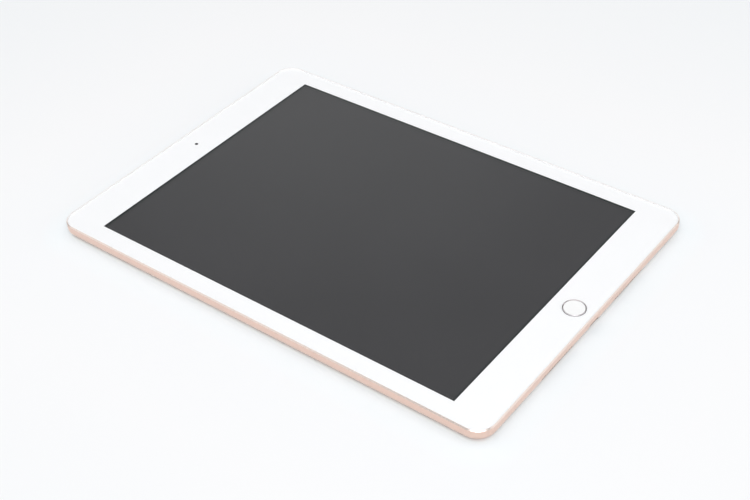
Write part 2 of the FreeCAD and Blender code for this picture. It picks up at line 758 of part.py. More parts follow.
def home_gasket():
    """The soft seal under the glass that the flange rests against."""
    z_range = (SENSOR_Z, MASK_Z)
    return prism(FLANGE_R, z_range, HOME, 24).cut(prism(HOME_HOLE_R + 0.1, z_range, HOME, 24))


def home_dome():
    snap = dome(HOME_DOME_R, DOME_H)
    snap.translate(vec(*HOME, HOME_BASE_Z))
    return snap


def home_bracket():
    """The folded steel bridge under the button, its feet fixed to the glass."""
    steel = HOME_BRACKET_T
    y_range = [HOME[1] + reach for reach in HOME_BRACKET_Y]
    bridge = [box(about(0, HOME_BRIDGE_HALF), y_range, (HOME_BASE_Z - steel, HOME_BASE_Z))]
    foot_middle = (HOME_BRIDGE_HALF + HOME_FOOT_END) / 2
    foot_half = (HOME_FOOT_END - HOME_BRIDGE_HALF + steel) / 2
    for side in (-1, 1):
        leg = about(side * (HOME_BRIDGE_HALF - steel / 2), steel / 2)
        bridge.append(box(leg, y_range, (HOME_BASE_Z - steel, MASK_Z)))
        bridge.append(box(about(side * foot_middle, foot_half), y_range, (MASK_Z - steel, MASK_Z)))
    return fused(bridge)


def home_flex():
    """The strip from the switch down to the port's strip on the floor."""
    top = HOME_BASE_Z - HOME_BRACKET_T - FLEX_T / 2
    low = FLOOR_FLEX_Z[1] + FLEX_T / 2
    side = HOME_FOOT_END + 0.3
    path = [(3, top), (side, top), (side, low), (HOME_BRIDGE_HALF, low)]
    return ribbon(path, FLEX_BEND_R, FLEX_T, HOME_FLEX_Y, "X")


# ---------------------------------------------------------------- cameras


def camera_block(centre, half, z_range):
    """A block centred on a camera's axis."""
    return box(about(centre[0], half[0]), about(centre[1], half[1]), z_range)


def front_camera_module():
    """The camera block on its shelf, with a round barrel up to the glass."""
    block = camera_block(FRONT_CAMERA, FRONT_BLOCK_HALF, FRONT_BLOCK_Z)
    barrel = prism(FRONT_BARREL_R, (FRONT_BLOCK_Z[1], MASK_Z), FRONT_CAMERA, 24)
    bore = prism(FRONT_BORE_R, (FRONT_LENS_Z[0], MASK_Z + 1), FRONT_CAMERA, 16)
    return fused([block, barrel]).cut(bore)


def front_camera_lens():
    """The lens in the barrel: a disc with a raised, sloping crown."""
    edge = prism(FRONT_LENS_R, FRONT_LENS_Z, FRONT_CAMERA, 16)
    crown_z = (FRONT_LENS_Z[1], FRONT_LENS_Z[1] + FRONT_LENS_CROWN)
    return fused([edge, frustum((FRONT_LENS_R, FRONT_LENS_R / 2), crown_z, FRONT_CAMERA, 16)])


def rear_camera_ring():
    """The trim ring in the back, flush outside, flanged inside and stepped for the window."""
    barrel = disc(REAR_RING_R, (0, BACK_WALL), REAR_CAMERA)
    flange = prism(REAR_FLANGE_R, (BACK_WALL, REAR_FLANGE_TOP), REAR_CAMERA, 24)
    seat = disc(REAR_WINDOW_R, (-1, REAR_WINDOW_Z[1]), REAR_CAMERA)
    opening = prism(REAR_OPENING_R, (-1, REAR_FLANGE_TOP + 1), REAR_CAMERA, 24)
    ring = fused([barrel, flange]).cut([seat, opening])
    mouth = [e for e in ring.Edges if abs(e.BoundBox.ZMax) < 1e-3 and e.BoundBox.XLength < 6]
    return ring.makeChamfer(REAR_RING_CHAMFER, mouth)


def rear_camera_lens():
    """The window that closes the trim ring."""
    return disc(REAR_WINDOW_R, REAR_WINDOW_Z, REAR_CAMERA)


def rear_camera_module():
    """The camera block on the ring's flange, with its barrel and pupil towards the window."""
    block = camera_block(REAR_CAMERA, (REAR_BLOCK_HALF, REAR_BLOCK_HALF), REAR_BLOCK_Z)
    barrel = prism(REAR_BARREL_R, (REAR_FLANGE_TOP, REAR_BLOCK_Z[0]), REAR_CAMERA, 24)
    pupil = prism(REAR_PUPIL_R, (0, REAR_PUPIL_DEPTH), REAR_CAMERA, 16)
    return fused([block, barrel]).cut(pupil)


def rear_camera_bracket():
    """The plate that holds the rear camera down, with an arm to each of its two posts."""
    over = camera_block(REAR_CAMERA, (REAR_BLOCK_HALF, REAR_BLOCK_HALF), CAMERA_BRACKET_Z)
    x_range = (CAMERA_SCREWS[0][0], CAMERA_SCREWS[1][0])
    arms = box(x_range, about(REAR_CAMERA[1], CAMERA_ARM_HALF), CAMERA_BRACKET_Z)
    ends = [prism(CAMERA_ARM_HALF, CAMERA_BRACKET_Z, place) for place in CAMERA_SCREWS]
    holes = [prism(SCREW_HOLE_R, CAMERA_BRACKET_Z, place, 6) for place in CAMERA_SCREWS]
    return fused([over, arms] + ends).cut(holes)


# ---------------------------------------------------------------- side buttons


def side_button():
    """A round-ended button whose face follows the body's side, with its inner flange and stem."""
    inner = -BUTTON_WALL - SIDE_FLANGE_T
    length = SLOT_L - 2 * BUTTON_CLEARANCE
    height = SLOT_H - 2 * BUTTON_CLEARANCE
    bar = slot_prism(length, height, (-BUTTON_WALL - 0.1, 3), BUTTON_Z)
    cap = bar.common(side_profile(BUTTON_PROUD))
    flange_z = about(BUTTON_Z, height / 2 + SIDE_FLANGE_LIP / 2)
    flange = box(about(0, length / 2 + SIDE_FLANGE_LIP), (inner, -BUTTON_WALL), flange_z)
    stem = prism(STEM_R, (0, STEM_L), (0, 0), 8)
    stem.rotate(vec(0, 0, 0), vec(1, 0, 0), 90)
    stem.translate(vec(0, inner, BUTTON_Z))
    return fused([cap, flange, stem])


def side_dome():
    """A snap dome standing on its strip behind a side button."""
    snap = dome(SIDE_DOME_R, DOME_H)
    snap.rotate(vec(0, 0, 0), vec(1, 0, 0), -90)
    snap.translate(vec(0, -BUTTON_WALL - SIDE_FLANGE_T - STEM_L - DOME_H, BUTTON_Z))
    return snap


def switch_strip(half_l):
    """The flexible strip that carries the domes of one side."""
    front = -BUTTON_WALL - SIDE_FLANGE_T - STEM_L - DOME_H
    return box(about(0, half_l), (front - FLEX_T, front), about(BUTTON_Z, 1.5))


def switch_bracket(half_l):
    """The steel plate behind the strip, with a foot at each end against the wall."""
    front = -BUTTON_WALL - SIDE_FLANGE_T - STEM_L - DOME_H - FLEX_T
    pieces = [box(about(0, half_l), (front - BRACKET_T, front), (BUTTON_Z - 1.25, BUTTON_Z + 1.7))]
    for side in (-1, 1):
        x_range = about(side * (half_l - 1.5), BRACKET_FOOT_HALF)
        pieces.append(box(x_range, (front - 0.05, -SIDE_WALL), (BUTTON_Z, BUTTON_Z + 1.6)))
    return fused(pieces)


# ---------------------------------------------------------------- sockets and sound


def headphone_jack():
    """The socket block with its round bore, and a nose in the wall cut to the body's curve."""
    wall_y = HALF_L - SIDE_WALL
    block = box(about(JACK_X, JACK_HALF_W), (JACK_BACK_Y, wall_y), JACK_BLOCK_Z)
    ear_x = (JACK_X + JACK_HALF_W - 0.1, JACK_SCREW[0] + JACK_EAR_HALF)
    ear = box(ear_x, about(JACK_SCREW[1], JACK_EAR_HALF), JACK_EAR_Z)
    nose = rod_y(JACK_HOLE_R - 0.05, (wall_y, HALF_L), JACK_X, JACK_Z)
    nose = nose.common(to_top_side(side_profile(-JACK_RECESS), JACK_X))
    body = fused([block, ear, nose])
    bore = rod_y(JACK_BORE_R, (JACK_BACK_Y + JACK_END_WALL, HALF_L + 1), JACK_X, JACK_Z)
    return body.cut([bore, prism(SCREW_HOLE_R, JACK_EAR_Z, JACK_SCREW, 6)])


def audio_flex():
    """The strip on the floor from the headphone socket and the camera shelf to the logic board."""
    y_range = (AUDIO_FLEX_Y[1] - 0.5, JACK_BACK_Y)
    run = box(AUDIO_FLEX_X, AUDIO_FLEX_Y, FLOOR_FLEX_Z)
    to_jack = box(about(JACK_X, 3), y_range, FLOOR_FLEX_Z)
    riser = box(about(JACK_X, 3), (JACK_BACK_Y - FLEX_T, JACK_BACK_Y), (BACK_WALL, JACK_BLOCK_Z[0] + 1.1))
    shelf_y = FRONT_CAMERA[1] - FRONT_SHELF_HALF[1]
    to_camera = box(about(0, 3), (AUDIO_FLEX_Y[1] - 0.5, shelf_y), FLOOR_FLEX_Z)
    plug_y = (AUDIO_FLEX_Y[0] + 0.2, BOARD_Y[1] - 0.1)
    plug = box((AUDIO_FLEX_X[1] - 6, AUDIO_FLEX_X[1]), plug_y, (FLOOR_FLEX_Z[1], BOARD_Z[0]))
    return fused([run, to_jack, riser, to_camera, plug])


def port_shell():
    """The steel shell of the charging port, open towards the side, with two screw ears."""
    y_range = (PORT_MOUTH, PORT_REAR)
    pieces = [slot_prism(PORT_W + 2 * PORT_WALL, PORT_H + 2 * PORT_WALL, y_range, PORT_Z)]
    for x, y in PORT_SCREWS:
        reach = (0, x) if x > 0 else (x, 0)
        pieces.append(box(reach, about(y, PORT_EAR_HALF), PORT_EAR_Z))
        pieces.append(prism(PORT_EAR_HALF, PORT_EAR_Z, (x, y)))
    inside = slot_prism(PORT_W, PORT_H, (PORT_MOUTH - 1, PORT_REAR - PORT_WALL), PORT_Z)
    holes = [prism(SCREW_HOLE_R, PORT_EAR_Z, place, 6) for place in PORT_SCREWS]
    return fused(pieces).cut([inside] + holes)


def port_liner():
    """The plastic liner that narrows the shell to the plug's size."""
    rear = PORT_REAR - PORT_WALL
    outer = slot_prism(PORT_W, PORT_H, (PORT_MOUTH, rear), PORT_Z)
    return outer.cut(slot_prism(PLUG_W, PLUG_H, (PORT_MOUTH - 1, rear - LINER_BACK), PORT_Z))


def port_contacts():
    """Contact strips along the floor of the liner."""
    low = PORT_Z - PLUG_H / 2
    y_range = (PORT_MOUTH + 1.2, PORT_REAR - PORT_WALL - LINER_BACK)
    contacts = []
    for k in range(CONTACTS):
        x = (k - (CONTACTS - 1) / 2) * CONTACT_PITCH
        contacts.append(box(about(x, CONTACT_W / 2), y_range, (low, low + CONTACT_T)))
    return contacts


def port_flex():
    """The strip on the floor from the charging port to the logic board."""
    tail = box((-5, HOME_FOOT_END + 2), (PORT_REAR, PORT_FLEX_Y[1]), FLOOR_FLEX_Z)
    upstand = box(about(0, PLUG_W / 2), (PORT_REAR, PORT_REAR + FLEX_T), (BACK_WALL, PORT_Z + 1.1))
    across = box((-5, PORT_FLEX_X[1]), PORT_FLEX_Y, FLOOR_FLEX_Z)
    along = box(PORT_FLEX_X, (PORT_FLEX_Y[0], BOARD_Y[0] + 5.4), FLOOR_FLEX_Z)
    plug_x = (PORT_FLEX_X[0] + 1, PORT_FLEX_X[1] - 1)
    plug = box(plug_x, (BOARD_Y[0] + 1, BOARD_Y[0] + 5), (FLOOR_FLEX_Z[1], BOARD_Z[0]))
    return fused([tail, upstand, across, along, plug])


def speaker():
    """The right-hand speaker box, with a snout that seals against the grille's mesh."""
    body = box(SPEAKER_X, SPEAKER_Y, (BACK_WALL, MESH_Z[1]))
    front = PORT_MOUTH + MESH_T
    snout_x = (GRILLE_POCKET_X[0] + 0.2, GRILLE_POCKET_X[1] - 0.2)
    snout = box(snout_x, (front, SPEAKER_Y[0] + 0.7), MESH_Z)
    channel_x = (snout_x[0] + SNOUT_WALL, snout_x[1] - SNOUT_WALL)
    channel = box(channel_x, (front - 1, SOUND_CHANNEL_END), SOUND_CHANNEL_Z)
    return fused([body, snout]).cut(channel)


def speaker_meshes():
    """The dust mesh behind each grille."""
    x_range = (GRILLE_POCKET_X[0] + 0.1, GRILLE_POCKET_X[1] - 0.1)
    right = box(x_range, (PORT_MOUTH, PORT_MOUTH + MESH_T), MESH_Z)
    return [right, mirrored(right)]


def microphones():
    """A small microphone behind the hole in the top side, and one over the hole in the back."""
    inner_wall = HALF_L - SIDE_WALL
    top = box(about(0, 1.75), (inner_wall - 1.1, inner_wall), about(TOP_MIC_Z, 0.7))
    rear = box(about(REAR_MIC[0], 1.75), about(REAR_MIC[1], 1.3), (BACK_WALL, BACK_WALL + 1.1))
    return [top, rear]


def antennas():
    """The radio antennas: hollow moulded blocks on a leg, in the corners beside the speakers."""
    block = box(ANTENNA_X, ANTENNA_Y, (BACK_WALL, ANTENNA_TOP))
    inner_x = (ANTENNA_X[0] + ANTENNA_WALL, ANTENNA_X[1] - ANTENNA_WALL)
    inner_y = (ANTENNA_Y[0] + ANTENNA_WALL, ANTENNA_Y[1] - ANTENNA_WALL)
    hollow = box(inner_x, inner_y, (BACK_WALL - 1, ANTENNA_TOP - ANTENNA_ROOF))
    clear_of_floor = box((60, 90), (-120, -100), (BACK_WALL - 1, 3.2))
    leg_x = (ANTENNA_X[0] + 2.5, ANTENNA_X[1] - 2.5)
    leg_y = (ANTENNA_Y[0] + 2.0, ANTENNA_Y[1] - 2.0)
    leg = box(leg_x, leg_y, (BACK_WALL, ANTENNA_TOP - ANTENNA_ROOF + 0.1))
    right = fused([block.cut([hollow, clear_of_floor]), leg])
    return [right, mirrored(right)]


def cover_magnets():
    """Bar magnets along both long sides, which hold and wake a cover."""
    wall = HALF_W - SIDE_WALL
    magnets = []
    for side, places in MAGNET_Y.items():
        x_range = about(side * (wall - MAGNET_W / 2), MAGNET_W / 2)
        magnets += [box(x_range, about(y, MAGNET_L / 2), MAGNET_Z) for y in places]
    return magnets


# ---------------------------------------------------------------- battery and electronics


def battery_cell(x_range):
    """A pouch cell with bevelled edges."""
    cell = box(x_range, CELL_Y, CELL_Z)
    return cell.makeChamfer(CELL_BEVEL, cell.Edges)


def battery_adhesive():
    """The strips that hold the cells to the floor."""
    strips = []
    for x_range in CELL_X.values():
        for share in (0.2, 0.5, 0.8):
            x = x_range[0] + share * CELL_W
            strips.append(box(about(x, 4), (CELL_Y[0] + 10, CELL_Y[1] - 10), (BACK_WALL, CELL_Z[0])))
    return strips


def battery_board():
    """The protection board along the cells' ends, with a tail on to the logic board."""
    top = PROTECTION_Z[1]
    y_range = (CELL_Y[1], CELL_Y[1] + PROTECTION_W)
    board = box(PROTECTION_X, y_range, PROTECTION_Z)
    tail = box(PROTECTION_TAIL, (y_range[0] + 0.5, y_range[1] - 0.5), (top, top + 0.3))
    middle = sum(y_range) / 2
    chips = [box(about(x, 2.5), about(middle, 1.6), (top, top + 0.8)) for x in PROTECTION_PARTS_X]
    return fused([board, tail] + chips)


def logic_board():
    """The main circuit board: a long narrow strip beside the battery."""
    board = box(BOARD_X, BOARD_Y, BOARD_Z)
    notch = box(about(BOARD_X[1], BOARD_NOTCH), BOARD_NOTCH_Y, (BOARD_Z[0] - 1, BOARD_Z[1] + 1))
    holes = [prism(SCREW_HOLE_R, BOARD_Z, place, 6) for place in BOARD_SCREWS]
    return board.cut([notch] + holes)


def board_chips():
    """Processor, memory, storage, radio and power chips, and two connectors."""
    chips = []
    for x, y, half_w, half_l, tall in CHIPS:
        chips.append(box(about(x, half_w), about(y, half_l), (BOARD_Z[1], BOARD_Z[1] + tall)))
    return chips


def board_shields():
    """Two stamped cans over the chips."""
    shields = []
    x_range = (BOARD_X[0] + SHIELD_INSET, BOARD_X[1] - SHIELD_INSET)
    inner_x = (x_range[0] + SHIELD_WALL, x_range[1] - SHIELD_WALL)
    for y_range in SHIELD_Y:
        can = box(x_range, y_range, (BOARD_Z[1], SHIELD_TOP))
        inner_y = (y_range[0] + SHIELD_WALL, y_range[1] - SHIELD_WALL)
        shields.append(can.cut(box(inner_x, inner_y, (BOARD_Z[1] - 1, SHIELD_TOP - SHIELD_WALL))))
    return shields


def board_screws():
    return [screw(BOARD_Z[1], 1.5, place) for place in BOARD_SCREWS]


def bracket_screws():
    """The screws that hold the camera bracket, the charging port and the headphone socket."""
    screws = [screw(CAMERA_BRACKET_Z[1], 2.0, place) for place in CAMERA_SCREWS]
    screws += [screw(PORT_EAR_Z[1], 1.2, place) for place in PORT_SCREWS]
    screws.append(screw(JACK_EAR_Z[1], 2.0, JACK_SCREW))
    return screws


# ---------------------------------------------------------------- the assembly

VOLUME_MIDDLE = sum(VOLUME_Y.values()) / 2
RIGHT_SPEAKER = speaker()
BUTTON = side_button()
SIDE_DOME = side_dome()

NODES = {
    "rear_housing": rear_housing(),
    "glass_gasket": glass_gasket(),
    "cover_glass": cover_glass(),
    "bezel_mask": bezel_mask(),
    "glass_adhesive": glass_adhesive(),
    "touch_flex": touch_flex(),
    "lcd_panel": lcd_panel(),
    "lcd_edge_tape": lcd_edge_tape(),
    "diffuser_sheets": backlight_sheet(DIFFUSER_Z, DIFFUSER_T),
    "light_guide": backlight_sheet(GUIDE_Z, GUIDE_T),
    "reflector_sheet": backlight_sheet(REFLECTOR_Z, REFLECTOR_T),
    "led_strip": led_strip(),
    "lcd_frame": lcd_frame(),
    "display_flex": display_flex(),
    "lcd_screws": lcd_screws(),
    "home_button_cap": home_button_cap(),
    "home_ring": home_ring(),
    "home_sensor": home_sensor(),
    "home_carrier": home_carrier(),
    "home_gasket": home_gasket(),
    "home_dome": home_dome(),
    "home_bracket": home_bracket(),
    "home_flex": home_flex(),
    "front_camera_module": front_camera_module(),
    "front_camera_lens": front_camera_lens(),
    "rear_camera_ring": rear_camera_ring(),
    "rear_camera_lens": rear_camera_lens(),
    "rear_camera_module": rear_camera_module(),
    "rear_camera_bracket": rear_camera_bracket(),
    "power_button": to_top_side(BUTTON, POWER_X),
    "power_dome": to_top_side(SIDE_DOME, POWER_X),
    "power_bracket": to_top_side(switch_bracket(POWER_BRACKET_HALF), POWER_X),
    "volume_up_button": to_right_side(BUTTON, VOLUME_Y["up"]),
    "volume_down_button": to_right_side(BUTTON, VOLUME_Y["down"]),
    "volume_up_dome": to_right_side(SIDE_DOME, VOLUME_Y["up"]),
    "volume_down_dome": to_right_side(SIDE_DOME, VOLUME_Y["down"]),
    "volume_bracket": to_right_side(switch_bracket(VOLUME_BRACKET_HALF), VOLUME_MIDDLE),
    "button_flex": [
        to_top_side(switch_strip(POWER_STRIP_HALF), POWER_X),
        to_right_side(switch_strip(VOLUME_STRIP_HALF), VOLUME_MIDDLE),
    ],
    "headphone_jack": headphone_jack(),
    "audio_flex": audio_flex(),
    "port_shell": port_shell(),
    "port_liner": port_liner(),
    "port_contacts": port_contacts(),
    "port_flex": port_flex(),
    "speaker_left": mirrored(RIGHT_SPEAKER),
    "speaker_right": RIGHT_SPEAKER,
    "speaker_meshes": speaker_meshes(),
    "microphones": microphones(),
    "antennas": antennas(),
    "cover_magnets": cover_magnets(),
    "battery_cell_left": battery_cell(CELL_X["left"]),
    "battery_cell_right": battery_cell(CELL_X["right"]),
    "battery_adhesive": battery_adhesive(),
    "battery_board": battery_board(),
    "logic_board": logic_board(),
    "board_chips": board_chips(),
    "board_shields": board_shields(),
    "board_screws": board_screws(),
    "bracket_screws": bracket_screws(),
}

for name, shape in NODES.items():
    solids = shape if isinstance(shape, list) else [shape]
    node = Part.makeCompound(solids) if len(solids) > 1 else solids[0]
    node.exportStep(f"parts/{name}.step")
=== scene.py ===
import json
import math

import bmesh
import bpy
from mathutils import Matrix, Vector


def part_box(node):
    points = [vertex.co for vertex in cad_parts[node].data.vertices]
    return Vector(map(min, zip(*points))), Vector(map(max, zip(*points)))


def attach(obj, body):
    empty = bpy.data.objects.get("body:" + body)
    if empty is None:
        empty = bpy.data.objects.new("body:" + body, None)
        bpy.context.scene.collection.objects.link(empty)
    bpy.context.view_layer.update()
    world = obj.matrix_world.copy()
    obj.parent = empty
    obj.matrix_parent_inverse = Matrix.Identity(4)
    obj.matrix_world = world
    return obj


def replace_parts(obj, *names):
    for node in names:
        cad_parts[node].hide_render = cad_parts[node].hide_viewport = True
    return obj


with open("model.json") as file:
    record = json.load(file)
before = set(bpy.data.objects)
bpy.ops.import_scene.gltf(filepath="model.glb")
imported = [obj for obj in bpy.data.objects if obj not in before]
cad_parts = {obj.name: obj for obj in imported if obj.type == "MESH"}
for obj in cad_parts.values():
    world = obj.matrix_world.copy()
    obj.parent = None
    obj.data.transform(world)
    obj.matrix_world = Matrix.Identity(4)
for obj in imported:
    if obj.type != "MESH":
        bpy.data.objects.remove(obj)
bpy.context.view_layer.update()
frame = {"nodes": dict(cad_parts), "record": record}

MM = 0.001


def middle(node):
    """The middle of a CAD node's box, in millimetres."""
    low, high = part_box(node)
    return (low + high) / 2 / MM


# ---------------------------------------------------------------- sizes, in millimetres
# The outer sizes and the pieces' places come from the frame. The rest is detail that its boxes
# don't tell.
HALF_W, HALF_L, BODY_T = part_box("rear_housing")[1] / MM
CORNER_R = 9.0
CHAMFER = 0.5
SIDE_LOW_Z = 4.6  # the upright side ends at this height, and the curve under it begins
BACK_CURVE = 6.5  # the flat back begins this far in from the side
SIDE_ARC_R = 3.6  # the smaller of the curve's two arcs
BACK_WALL = 0.9
SIDE_WALL = 3.2
CAVITY_SCOOP = 2.6  # the slanted edge at the bottom of the hollow
LEDGE_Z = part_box("glass_adhesive")[0].z / MM
RIM_INSET = 0.56
CORNER_STEPS = 24

GLASS_INSET = HALF_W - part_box("cover_glass")[1].x / MM
GLASS_BEVEL = 0.12
BEVEL_STEPS = 4
MASK_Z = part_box("bezel_mask")[0].z / MM
MASK_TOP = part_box("bezel_mask")[1].z / MM
MASK_GAP = 0.01  # keeps the print's faces off the glass
WINDOW_HALF = (74.6, 99.6)
WINDOW_CORNER_R = 0.02
SCREEN_Y = 0.4
FRONT_CAMERA = middle("front_camera_lens").xy
FRONT_APERTURE_R = 0.9
FRONT_APERTURE_STEPS = 48

HOME_LOW, HOME_HIGH = (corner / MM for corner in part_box("home_ring"))
HOME = middle("home_ring").xy
HOME_HOLE_R = 5.27
HOME_HOLE_STEPS = 128
RING_OUTER_R = (HOME_HIGH.x - HOME_LOW.x) / 2
RING_INNER_R = 4.75
RING_TOP = HOME_HIGH.z
RING_BASE = HOME_LOW.z
RING_EDGE = 0.03  # the small bevel on the ring's outer edge
RING_LIP = 0.05  # the ring's inner edge stands this far over the cap
CAP_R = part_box("home_button_cap")[1].x / MM - HOME.x
CAP_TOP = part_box("home_button_cap")[1].z / MM
CAP_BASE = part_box("home_button_cap")[0].z / MM
CAP_DISH = 0.06
CAP_EDGE = 0.05
CAP_STEPS = 10

REAR_CAMERA = middle("rear_camera_lens").xy
REAR_RING_R = 3.65
REAR_RING_FIT = 0.05
REAR_RING_EDGE = ((0.0, 0.12), (0.05, 0.04), (0.12, 0.0))  # (inset, height) round its outer edge
REAR_WINDOW_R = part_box("rear_camera_lens")[1].x / MM - REAR_CAMERA.x
REAR_WINDOW_SLOPE = 0.14
REAR_BARREL_R = 2.2
REAR_LENS_R = 1.3
REAR_MIC = (57.0, 110.0)
MIC_HOLE_R = 0.4
MIC_HOLE_STEPS = 24
TOP_MIC_Z = 4.2

BUTTON_Z = middle("power_button").z
SLOT_L = 10.8
SLOT_H = 2.5
BUTTON_CLEARANCE = 0.13
BUTTON_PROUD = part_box("power_button")[1].y / MM - HALF_L
BUTTON_BEVEL = 0.12
BUTTON_BACK = SIDE_WALL - 0.4  # from the side plane in to the button's back
FACE_SHARES = (0.3, 0.55, 0.8, 0.97)  # the rings of a button's face, from its bevel to its middle
POWER_X = middle("power_button").x
VOLUME_Y = {name: middle(f"{name}_button").y for name in ("volume_up", "volume_down")}

PORT_LOW, PORT_HIGH = (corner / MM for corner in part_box("port_liner"))
PORT_Z = (PORT_LOW.z + PORT_HIGH.z) / 2
PORT_W = PORT_HIGH.x - PORT_LOW.x
PORT_H = PORT_HIGH.z - PORT_LOW.z
JACK_X = -72.0
JACK_Z = 3.4
JACK_HOLE_R = 2.35
GRILLE_X = 18.5  # the column nearest the port
GRILLE_PITCH = 1.9
GRILLE_COLUMNS = 13
GRILLE_ROWS = (2.35, 3.75)  # heights
GRILLE_HOLE_R = 0.55
GRILLE_HOLE_STEPS = 20
GRILLE_DEEP = 5.3

OVERCUT = 1  # how far a cutter reaches past the surface that it opens
SIDE_CUT = SIDE_WALL + 0.6  # how deep the openings in the sides go
BACK_CUT = BACK_WALL + 0.5

# ---------------------------------------------------------------- node materials

NOISE_LOW, NOISE_HIGH = 0.3, 0.7  # most of a noise pattern lies between these
MOTTLE_SCALE = 0.08  # the mottling is this much coarser than the grain
PAINTED_SHADE_BAND = (0.0015, 0.0045)  # a surface with painted shade is darkest below the first height and fades out by the second, in metres


def fill(node, **values):
    """Sets a node's sockets. Keys are socket names with _ for space."""
    for key, value in values.items():
        node.inputs[key.replace("_", " ")].default_value = value
    return node


class Nodes:
    """A node tree under construction."""

    def __init__(self, tree):
        self.tree = tree

    def node(self, kind, **settings):
        made = self.tree.nodes.new(kind)
        for key, value in settings.items():
            setattr(made, key, value)
        return made

    def link(self, source, target):
        self.tree.links.new(source, target)

    def combined(self, kind, operation, operands):
        """A maths node. Each operand is a socket to link or a value to set."""
        made = self.node(kind, operation=operation)
        for socket, operand in zip(made.inputs, operands):
            if isinstance(operand, bpy.types.NodeSocket):
                self.link(operand, socket)
            else:
                socket.default_value = operand
        return made

    def number(self, operation, *operands):
        return self.combined("ShaderNodeMath", operation, operands).outputs["Value"]

    def vector(self, operation, *operands):
        return self.combined("ShaderNodeVectorMath", operation, operands).outputs["Vector"]

    def measure(self, operation, *operands):
        """A vector operation that gives a number, such as a length."""
        return self.combined("ShaderNodeVectorMath", operation, operands).outputs["Value"]


class Shader(Nodes):
    """A node material under construction."""

    def __init__(self, name):
        self.material = bpy.data.materials.new(name)
        self.material.use_nodes = True
        super().__init__(self.material.node_tree)
        self.tree.nodes.clear()
        self.output = self.node("ShaderNodeOutputMaterial")

    def place(self):
        """Object coordinates: metres in the shared frame, which move with the piece."""
        return self.node("ShaderNodeTexCoord").outputs["Object"]

    def noise(self, scale, detail, roughness=0.5):
        """A noise pattern with features about 1/scale metres across."""
        noise = fill(self.node("ShaderNodeTexNoise"), Scale=scale, Detail=detail, Roughness=roughness)
        self.link(self.place(), noise.inputs["Vector"])
        return noise.outputs["Fac"]

    def ramp(self, factor, stops):
        """Colours along a factor: stops are (position, rgb)."""
        ramp = self.node("ShaderNodeValToRGB")
        elements = ramp.color_ramp.elements
        while len(elements) < len(stops):
            elements.new(0.5)
        for element, (position, rgb) in zip(elements, stops):
            element.position = position
            element.color = (*rgb, 1.0)
        self.link(factor, ramp.inputs["Fac"])
        return ramp.outputs["Color"]

    def spread(self, factor, low, high, from_low=NOISE_LOW, from_high=NOISE_HIGH):
        """Maps a pattern to a range of values."""
        spread = self.node("ShaderNodeMapRange")
        fill(spread, From_Min=from_low, From_Max=from_high, To_Min=low, To_Max=high)
        self.link(factor, spread.inputs["Value"])
        return spread.outputs["Result"]

    def bump(self, height, distance):
        bump = fill(self.node("ShaderNodeBump"), Strength=1.0, Distance=distance)
        self.link(height, bump.inputs["Height"])
        return bump.outputs["Normal"]

    def painted_shade_below(self, colour, factor, low_z, high_z):
        """Painted shade: the colour, multiplied by a factor below one height and left alone above
        another.
        """
        parts = self.node("ShaderNodeSeparateXYZ")
        self.link(self.place(), parts.inputs["Vector"])
        share = self.spread(parts.outputs["Z"], factor, 1.0, low_z, high_z)
        scaled = self.node("ShaderNodeVectorMath", operation="SCALE")
        self.link(colour, scaled.inputs["Vector"])
        self.link(share, scaled.inputs["Scale"])
        return scaled.outputs["Vector"]

    def principled(self, **values):
        shader = fill(self.node("ShaderNodeBsdfPrincipled"), **values)
        self.show(shader.outputs["BSDF"])
        return shader

    def mixed(self, share, first, second):
        """A blend of two shaders: all first where the share is 0, all second where it is 1."""
        mix = self.node("ShaderNodeMixShader")
        for source, target in zip((share, first, second), mix.inputs):
            self.link(source, target)
        return mix.outputs["Shader"]

    def show(self, shader):
        self.link(shader, self.output.inputs["Surface"])


def shade(rgb, factor):
    return tuple(min(1.0, channel * factor) for channel in rgb)


def surface(name, rgb, metallic, roughness, grain, mottling, wear, relief=0.0, low=1.0, gloss=0.5):
    """A plain procedural surface: mottled colour, uneven roughness, with relief a fine bump, and with low
    under 1 painted shade towards the bottom.
    """
    make = Shader(name)
    shader = make.principled(Metallic=metallic, Specular_IOR_Level=gloss)
    mottle = make.noise(grain * MOTTLE_SCALE, detail=4.0)
    shades = [(NOISE_LOW, shade(rgb, 1 - mottling)), (NOISE_HIGH, shade(rgb, 1 + mottling))]
    colour = make.ramp(mottle, shades)
    # Painted shade: below these heights the colour is darkened by the factor low.
    if low < 1.0:
        colour = make.painted_shade_below(colour, low, *PAINTED_SHADE_BAND)
    make.link(colour, shader.inputs["Base Color"])
    fine = make.noise(grain, detail=3.0, roughness=0.6)
    make.link(make.spread(fine, roughness - wear, roughness + wear), shader.inputs["Roughness"])
    if relief:
        make.link(make.bump(fine, relief), shader.inputs["Normal"])
    return make.material


